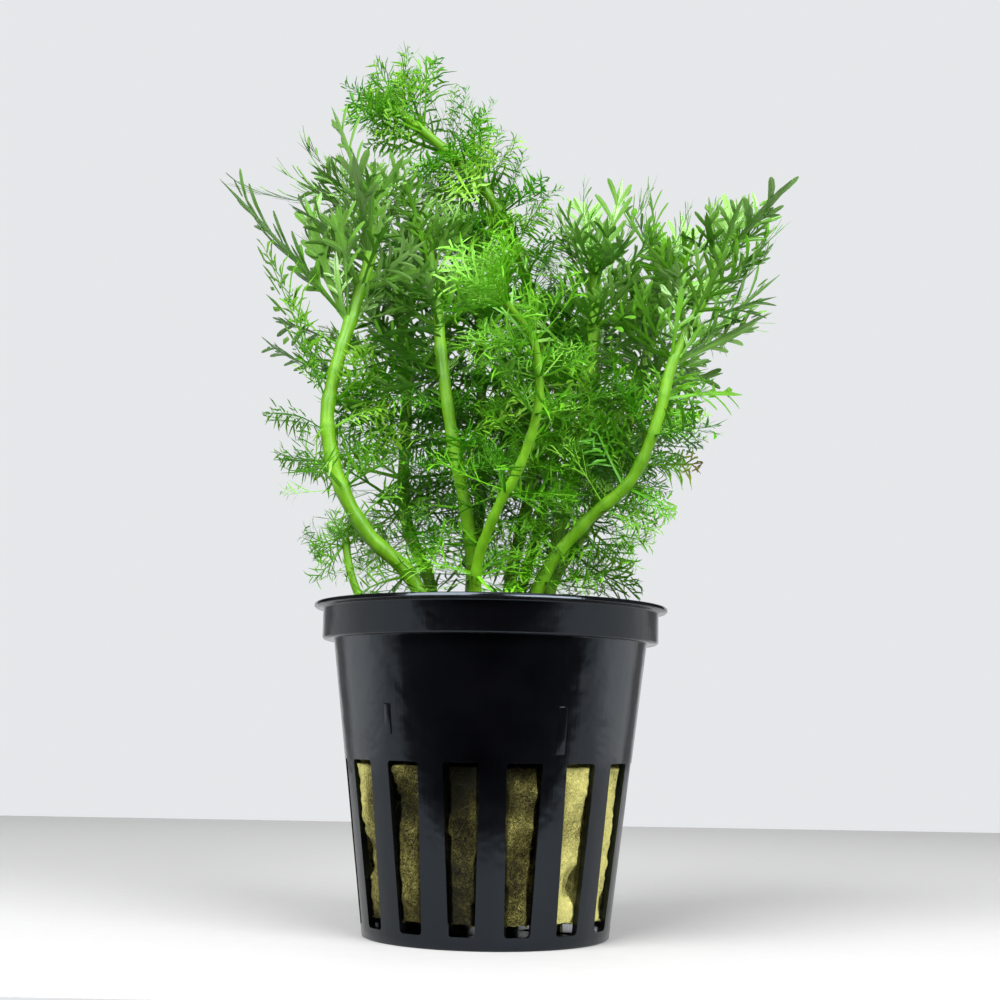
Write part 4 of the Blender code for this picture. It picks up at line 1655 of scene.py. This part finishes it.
        blades.clear()
        return placed


@dataclass
class Shoot:
    """One stem with its rings of leaves, the rings between them and the bud at its tip."""

    line: StemLine
    rings: list[RingPlace]
    high_kind: LeafKind
    brightness: float
    bare_in_front: bool
    slimness: float
    stock: LeafStock
    chance: random.Random

    NODE_SPACING = 5.0 * MM
    NODE_SWELL = 0.16
    FILLERS = ((0.35, 0.72, 0.98), (0.68, 0.45, 0.75))
    BETWEEN_LEAVES = 10
    BUD_ROUNDS = ((0.95, 0.42, 6), (1.25, 0.30, 5))

    def node_marks(self) -> list[float]:
        """Give the distance from the foot to every node of the stem, the rings' own and those between."""
        marks = [ring.walked for ring in self.rings]
        for low, high in zip(marks, marks[1:]):
            between = max(0, round((high - low) / self.NODE_SPACING) - 1)
            marks = marks + [low + (high - low) * (index + 1) / (between + 1) for index in range(between)]
        return sorted(marks)

    def build_stem(self, skin: Material) -> Piece:
        """Sweep the stem along its line, a little swollen at its nodes.

        Args:
            skin: the stem's material.

        Returns:
            The finished stem.
        """
        total = self.line.measure()[-1]
        marks = self.node_marks()
        steps = max(24, round(total / (0.9 * MM)))
        start_clean()
        bpy.ops.curve.primitive_nurbs_path_add()
        made = name_it("stem_sweep")
        made.data.splines.clear()
        spline = made.data.splines.new("POLY")
        spline.points.add(steps)
        made.data.bevel_depth = 1.0
        made.data.bevel_resolution = 5
        made.data.use_fill_caps = True
        nearness = []
        for index, point in enumerate(spline.points):
            walked = total * index / steps
            place, _, radius = self.line.at(walked)
            near = max(math.exp(-(((walked - mark) / (1.0 * MM)) ** 2)) for mark in marks)
            nearness.append(near)
            point.co = (*place, 1.0)
            point.radius = radius * self.slimness * (1.0 + self.NODE_SWELL * near) * (
                0.97 + 0.03 * math.sin(walked * 900.0))
        take_up(made)
        bpy.ops.object.convert(target="MESH")
        made = name_it("stem_of_" + self.line.name)
        layer = fresh_map(made, "StemMap")
        for loop in made.data.loops:
            walked = self.line.nearest(made.data.vertices[loop.vertex_index].co)[1]
            index = min(steps, max(0, round(walked / total * steps)))
            layer.data[loop.index].uv = (nearness[index], walked / total)
        made.data.shade_smooth()
        coat(made, skin)
        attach(made, "root")
        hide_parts("stem_" + self.line.name)
        return made

    def between_spines(self, place: Vector, direction: Vector, radius: float, rise: float, length: float,
                       count: int) -> list[LeafSpine]:
        """Spread the leaves of a node that has no solid of its own.

        Args:
            place: the node's place.
            direction: the stem's direction there.
            radius: the stem's radius there.
            rise: how far the leaves rise from square to the stem, in radians.
            length: their length.
            count: how many there are.

        Returns:
            Their spines.
        """
        frame_turn = direction.to_track_quat("Z", "X").to_matrix()
        phase = self.chance.uniform(0.0, math.tau)
        spines = []
        for index in range(count):
            angle = phase + index * math.tau / count + self.chance.uniform(-0.2, 0.2)
            lift = rise + self.chance.uniform(-0.22, 0.22)
            outward = frame_turn @ Vector((math.cos(angle), math.sin(angle), 0.0))
            chord = outward * math.cos(lift) + direction * math.sin(lift)
            reach = length * self.chance.uniform(0.75, 1.1)
            root = place + outward * radius * ROOT_DEPTH
            side = direction.cross(outward)
            spin = Matrix.Rotation(self.chance.uniform(-0.9, 0.9), 3, chord)
            normal = spin @ chord.cross(side) * -1.0
            spines.append(LeafSpine(
                root, root + chord * reach, normal.normalized(), self.chance.uniform(-0.06, 0.08), 4.0 * MM))
        return spines

    def kind_at(self, share: float) -> LeafKind:
        """Choose the form of leaf at a height on the stem.

        Args:
            share: the height, from 0 at the lowest ring to 1 at the tip.

        Returns:
            The form.
        """
        if self.high_kind is LeafKind.THREAD or share < 0.25:
            return LeafKind.THREAD
        return self.high_kind if share > 0.42 else LeafKind.FERN

    def build_ring(self, index: int, skins: dict[LeafKind, Material]) -> Piece:
        """Lay the leaves of one ring and of the nodes between it and the next one.

        Args:
            index: the ring's number on this stem, from 0.
            skins: the leaves' materials.

        Returns:
            The finished ring.
        """
        ring = self.rings[index]
        last = len(self.rings) - 1
        share = index / last if last else 1.0
        kind = self.kind_at(share)
        leaves = [self.grow(kind, spine, share) for spine in ring.spines]
        leaves += self.filling_leaves(ring, kind, share)
        if index < last:
            leaves += self.leaves_between(ring, self.rings[index + 1], share, 1.0 / last)
        else:
            leaves += self.bud(ring)
        for leaf in leaves:
            coat(leaf, skins[LeafKind(leaf.name.split("_")[0])])
        made = join_all(leaves, "leaves_" + ring.node.removeprefix("leaf_whorl_"))
        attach(made, "root")
        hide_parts(ring.node)
        return made

    def shade(self, share: float) -> float:
        """Draw a leaf's own shade, darker low on the plant."""
        return min(1.0, max(0.0, self.brightness * (0.5 + 0.25 * share) + self.chance.uniform(-0.32, 0.32)))

    def grow(self, kind: LeafKind, spine: LeafSpine, share: float) -> Piece:
        """Copy one leaf from the stock onto a spine, with its own shade.

        Args:
            kind: the leaf's form.
            spine: where it goes.
            share: its height on the stem.

        Returns:
            The leaf.
        """
        return self.stock.leaf(kind, spine, self.shade(share), self.chance)

    def filling_leaves(self, ring: RingPlace, kind: LeafKind, share: float) -> list[Piece]:
        """Add the shorter leaves that stand between the long ones of a ring.

        Args:
            ring: the ring.
            kind: the form of its leaves.
            share: its height on the stem.

        Returns:
            The leaves.
        """
        _, direction, radius = self.line.at(ring.walked)
        level = direction.to_track_quat("Z", "X").to_matrix().inverted()

        def azimuth(spine: LeafSpine) -> float:
            """Give the direction of a leaf round the stem."""
            away = level @ (spine.tip - ring.centre)
            return math.atan2(away.y, away.x)

        ordered = sorted(ring.spines, key=azimuth)
        leaves = []
        for first, second in zip(ordered, ordered[1:] + ordered[:1]):
            for part, low, high in self.FILLERS:
                start = (first.tip - first.root).normalized()
                end = (second.tip - second.root).normalized()
                chord = start.lerp(end, part) + direction * self.chance.uniform(-0.25, 0.4)
                if chord.length < 0.35:
                    continue
                chord.normalize()
                outward = (chord - direction * chord.dot(direction)).normalized()
                root = ring.centre + outward * radius * ROOT_DEPTH
                reach = first.length() + (second.length() - first.length()) * part
                reach *= self.chance.uniform(low, high)
                normal = first.normal.lerp(second.normal, part).normalized()
                normal.rotate(Quaternion(chord, self.chance.uniform(-0.7, 0.7)))
                arch = self.chance.uniform(-0.04, 0.08)
                spine = LeafSpine(root, root + chord * reach, normal, arch, first.width)
                if self.wanted(spine, share):
                    leaves.append(self.grow(kind, spine, share))
        return leaves

    def wanted(self, spine: LeafSpine, share: float) -> bool:
        """Say whether a shorter leaf grows here: the lower front side of some stems is bare.

        Args:
            spine: the leaf's spine.
            share: its height on the stem.

        Returns:
            Whether the leaf is made.
        """
        if not self.bare_in_front or share > 0.62:
            return True
        away = (spine.tip - spine.root).normalized()
        return away.y > -0.25

    def leaves_between(self, low: RingPlace, high: RingPlace, share: float,
                       step: float) -> list[Piece]:
        """Add the leaves of the nodes between two rings.

        Args:
            low: the lower ring.
            high: the upper ring.
            share: the lower ring's height on the stem.
            step: the height from one ring to the next.

        Returns:
            The leaves.
        """
        leaves = []
        mean_low, mean_high = low.mean_length(), high.mean_length()
        inner_marks = [mark for mark in self.node_marks() if low.walked + 1e-5 < mark < high.walked - 1e-5]
        for mark in inner_marks:
            part = (mark - low.walked) / (high.walked - low.walked)
            place, direction, radius = self.line.at(mark)
            height = share + step * part
            rise = math.radians(4.0 + 44.0 * height)
            length = (mean_low + (mean_high - mean_low) * part) * 0.88
            spines = self.between_spines(place, direction, radius, rise, length, self.BETWEEN_LEAVES)
            kind = self.kind_at(height)
            leaves += [self.grow(kind, spine, height) for spine in spines if self.wanted(spine, height)]
        return leaves

    def bud(self, ring: RingPlace) -> list[Piece]:
        """Add the young leaves that close round the tip of the stem.

        Args:
            ring: the stem's last ring.

        Returns:
            The leaves.
        """
        place, direction, radius = self.line.at(self.line.measure()[-1])
        leaves = []
        kind = LeafKind.THREAD if self.high_kind is LeafKind.THREAD else LeafKind.FERN
        for rise, length, count in self.BUD_ROUNDS:
            for spine in self.between_spines(place - direction * radius, direction, radius * 0.7, rise,
                                             ring.mean_length() * length, count):
                spine.arch = 0.09
                leaves.append(self.grow(kind, spine, 1.0))
        return leaves


@dataclass
class Plant:
    """The whole plant: every stem of the frame, dressed as a shoot."""

    seed: int = 41
    ring_leaves: int = 5
    crown_leaves: int = 6
    high_kinds: dict[str, LeafKind] = field(default_factory=lambda: {
        "tall": LeafKind.FERN, "front": LeafKind.THREAD, "young": LeafKind.THREAD})
    brightness: dict[str, float] = field(default_factory=lambda: {
        "front": 0.56, "far_right": 0.7, "left": 1.2, "middle_right": 1.0, "right": 0.9, "back": 0.6,
        "behind_right": 0.6, "middle_left": 0.7})
    bare_in_front: tuple[str, ...] = ("left", "centre", "front", "right")
    slimness: dict[str, float] = field(default_factory=lambda: {"front": 0.76, "right": 0.9})

    def build(self, stock: LeafStock, skins: dict[LeafKind, Material],
              stem_skin: Material) -> None:
        """Dress every stem and every ring of leaves.

        Args:
            stock: the leaves to copy.
            skins: the leaves' materials.
            stem_skin: the stems' material.
        """
        chance = random.Random(self.seed)
        stems = sorted(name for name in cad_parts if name.startswith("stem_"))
        for node in stems:
            line = StemLine.read(node)
            own = sorted(
                (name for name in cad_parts
                 if name.removeprefix("leaf_whorl_").rsplit("_", 1)[0] == line.name),
                key=lambda name: int(name.rsplit("_", 1)[1]))
            rings = [
                RingPlace.read(name, line, self.crown_leaves if name == own[-1] else self.ring_leaves)
                for name in own]
            shoot = Shoot(line, rings, self.high_kinds.get(line.name, LeafKind.LOBED),
                          self.brightness.get(line.name, 0.85), line.name in self.bare_in_front,
                          self.slimness.get(line.name, 1.0), stock, chance)
            shoot.build_stem(stem_skin)
            for index in range(len(rings)):
                shoot.build_ring(index, skins)
            LOG.info("dressed stem %s with %d rings of %s leaves", line.name, len(rings),
                     [len(ring.spines) for ring in rings])


@dataclass(frozen=True)
class Lamp:
    """One soft area light: its place, what it points at, its width and height, and its power in watts."""

    name: str
    place: tuple[float, float, float]
    target: tuple[float, float, float]
    size: tuple[float, float]
    power: float

    def hang(self) -> None:
        """Add the light to the scene."""
        start_clean()
        bpy.ops.object.light_add(type="AREA", location=self.place)
        lamp = name_it(self.name)
        lamp.rotation_euler = (Vector(self.target) - Vector(self.place)).to_track_quat("-Z", "Y").to_euler()
        lamp.data.shape = "RECTANGLE"
        lamp.data.size, lamp.data.size_y = self.size
        lamp.data.energy = self.power


@dataclass
class Studio:
    """The pale floor, the soft lights and the camera."""

    camera_distance: float = 250.0 * MM
    camera_height: float = 30.5 * MM
    camera_side: float = 1.1 * MM
    tilt: float = 8.3
    roll: float = 1.0
    lens: float = 57.5
    floor_width: float = 360.0 * MM
    floor_edge: float = 63.0 * MM
    floor_back: float = 300.0 * MM
    surround: tuple[tuple[float, float], ...] = (
        (0.0, 0.82), (20.0, 0.82), (26.0, 0.25), (40.0, 0.25), (52.0, 1.2), (80.0, 1.8), (112.0, 0.08),
        (180.0, 0.01))
    backdrop_top: float = 0.42
    side_wall_top: float = -0.06
    backdrop_half_angle: float = 24.0
    fade_height: float = 0.25
    above: float = 0.10
    cool_white: Colour = (0.96, 0.98, 1.0)
    lamps: tuple[Lamp, ...] = (
        Lamp("key", (-0.28, -0.38, 0.50), (0.0, 0.0, 0.08), (0.45, 0.45), 10.0),
        Lamp("fill", (0.32, -0.42, 0.35), (0.0, 0.0, 0.07), (0.45, 0.30), 8.0),
        Lamp("top", (0.0, -0.05, 0.60), (0.0, 0.0, 0.08), (0.5, 0.5), 3.0))

    def build(self, floor_finish: Material) -> None:
        """Set up the floor, the lights, the world and the camera.

        Args:
            floor_finish: the floor's material.
        """
        start_clean()
        bpy.ops.mesh.primitive_plane_add(size=1.0)
        floor = name_it("floor")
        floor.scale = (self.floor_width, self.floor_edge + self.floor_back, 1.0)
        floor.location = (0.0, (self.floor_back - self.floor_edge) / 2.0, 0.0)
        settle(floor)
        floor.data.materials.append(floor_finish)
        for lamp in self.lamps:
            lamp.hang()
        bpy.context.scene.world = self.make_world()
        bpy.context.scene.view_settings.view_transform = "Standard"
        start_clean()
        bpy.ops.object.camera_add(
            location=(self.camera_side, -self.camera_distance, self.camera_height),
            rotation=(math.radians(90.0 + self.tilt), 0.0, 0.0))
        camera = name_it("camera")
        camera.matrix_world = camera.matrix_world @ Matrix.Rotation(math.radians(self.roll), 4, "Z")
        camera.data.lens = self.lens
        camera.data.sensor_width = 36.0
        camera.data.clip_start = 0.01
        bpy.context.scene.camera = camera

    def make_world(self) -> bpy.types.World:
        """Make the surround: a pale backdrop, a bright soft wall on either side and a dark room in front.

        They light the object and show in its gloss. Looked at directly, the surround is plain and pale.

        Returns:
            The world.
        """
        world = bpy.data.worlds.new("studio")
        world.use_nodes = True
        sheet = Sheet(world.node_tree)
        across, ahead, upward = sheet.split(sheet.node("TexCoord").outputs["Generated"])
        heading = sheet.math("ARCTAN2", sheet.math("ABSOLUTE", across), ahead)
        spread = sheet.node("MapRange", From_Max=math.pi)
        sheet.join(heading, spread.inputs["Value"])
        stops = [(degrees / 180.0, (brightness,) * 3) for degrees, brightness in self.surround]
        walls = sheet.ramp(spread.outputs["Result"], *stops, blend="EASE")
        aside = sheet.math("GREATER_THAN", heading, math.radians(self.backdrop_half_angle))
        top = sheet.node("MapRange", To_Min=self.backdrop_top, To_Max=self.side_wall_top)
        sheet.join(aside, top.inputs["Value"])
        fade = sheet.node("MapRange", interpolation_type="SMOOTHSTEP", To_Min=1.0, To_Max=self.above)
        sheet.join(upward, fade.inputs["Value"])
        sheet.join(top.outputs["Result"], fade.inputs["From Min"])
        sheet.join(sheet.math("ADD", top.outputs["Result"], self.fade_height), fade.inputs["From Max"])
        strength = sheet.math("MULTIPLY", walls, fade.outputs["Result"])
        shown = sheet.node("Mix")
        looked_at = sheet.node("LightPath").outputs["Is Camera Ray"]
        for index, value in ((0, looked_at), (2, strength), (3, self.surround[0][1])):
            sheet.feed(shown.inputs[index], value)
        background = sheet.tree.nodes["Background"]
        sheet.feed(background.inputs["Color"], self.cool_white)
        sheet.join(shown.outputs[0], background.inputs["Strength"])
        return world


def make_leaf_skins() -> dict[LeafKind, Material]:
    """Make the material of each form of leaf.

    Returns:
        The materials by form.
    """
    return {
        LeafKind.THREAD: LeafFinish(
            "thread_leaf_skin", deep=(0.034, 0.20, 0.001), middle=(0.135, 0.44, 0.003),
            pale=(0.21, 0.48, 0.045), glow=(0.24, 0.66, 0.005),
            roughness=0.34, glow_share=0.34, gloss=0.45).make(),
        LeafKind.FERN: LeafFinish(
            "fern_leaf_skin", deep=(0.016, 0.13, 0.001), middle=(0.072, 0.33, 0.003),
            pale=(0.25, 0.50, 0.035), glow=(0.22, 0.66, 0.006),
            roughness=0.38, glow_share=0.34, gloss=0.4).make(),
        LeafKind.LOBED: LeafFinish(
            "lobed_leaf_skin", deep=(0.022, 0.13, 0.002), middle=(0.095, 0.30, 0.008),
            pale=(0.165, 0.345, 0.065), glow=(0.16, 0.47, 0.008),
            roughness=0.25, glow_share=0.22, gloss=0.55).make(),
    }


def main() -> None:
    """Build the pieces in order and report each one."""
    logging.basicConfig(level=logging.INFO, format="%(name)s: %(message)s")
    pot = NetPot()
    pot.build(PlasticFinish().make())
    LOG.info("net pot turned and cut")
    RockwoolPlug(pot).build(WoolFinish().make())
    LOG.info("rockwool plug made")
    stock = LeafStock()
    stock.build()
    LOG.info("leaf stock modelled")
    Plant().build(stock, make_leaf_skins(), StemFinish().make())
    stock.clear()
    Studio().build(FloorFinish().make())
    LOG.info("studio set up")


if __name__ == "__main__":
    main()
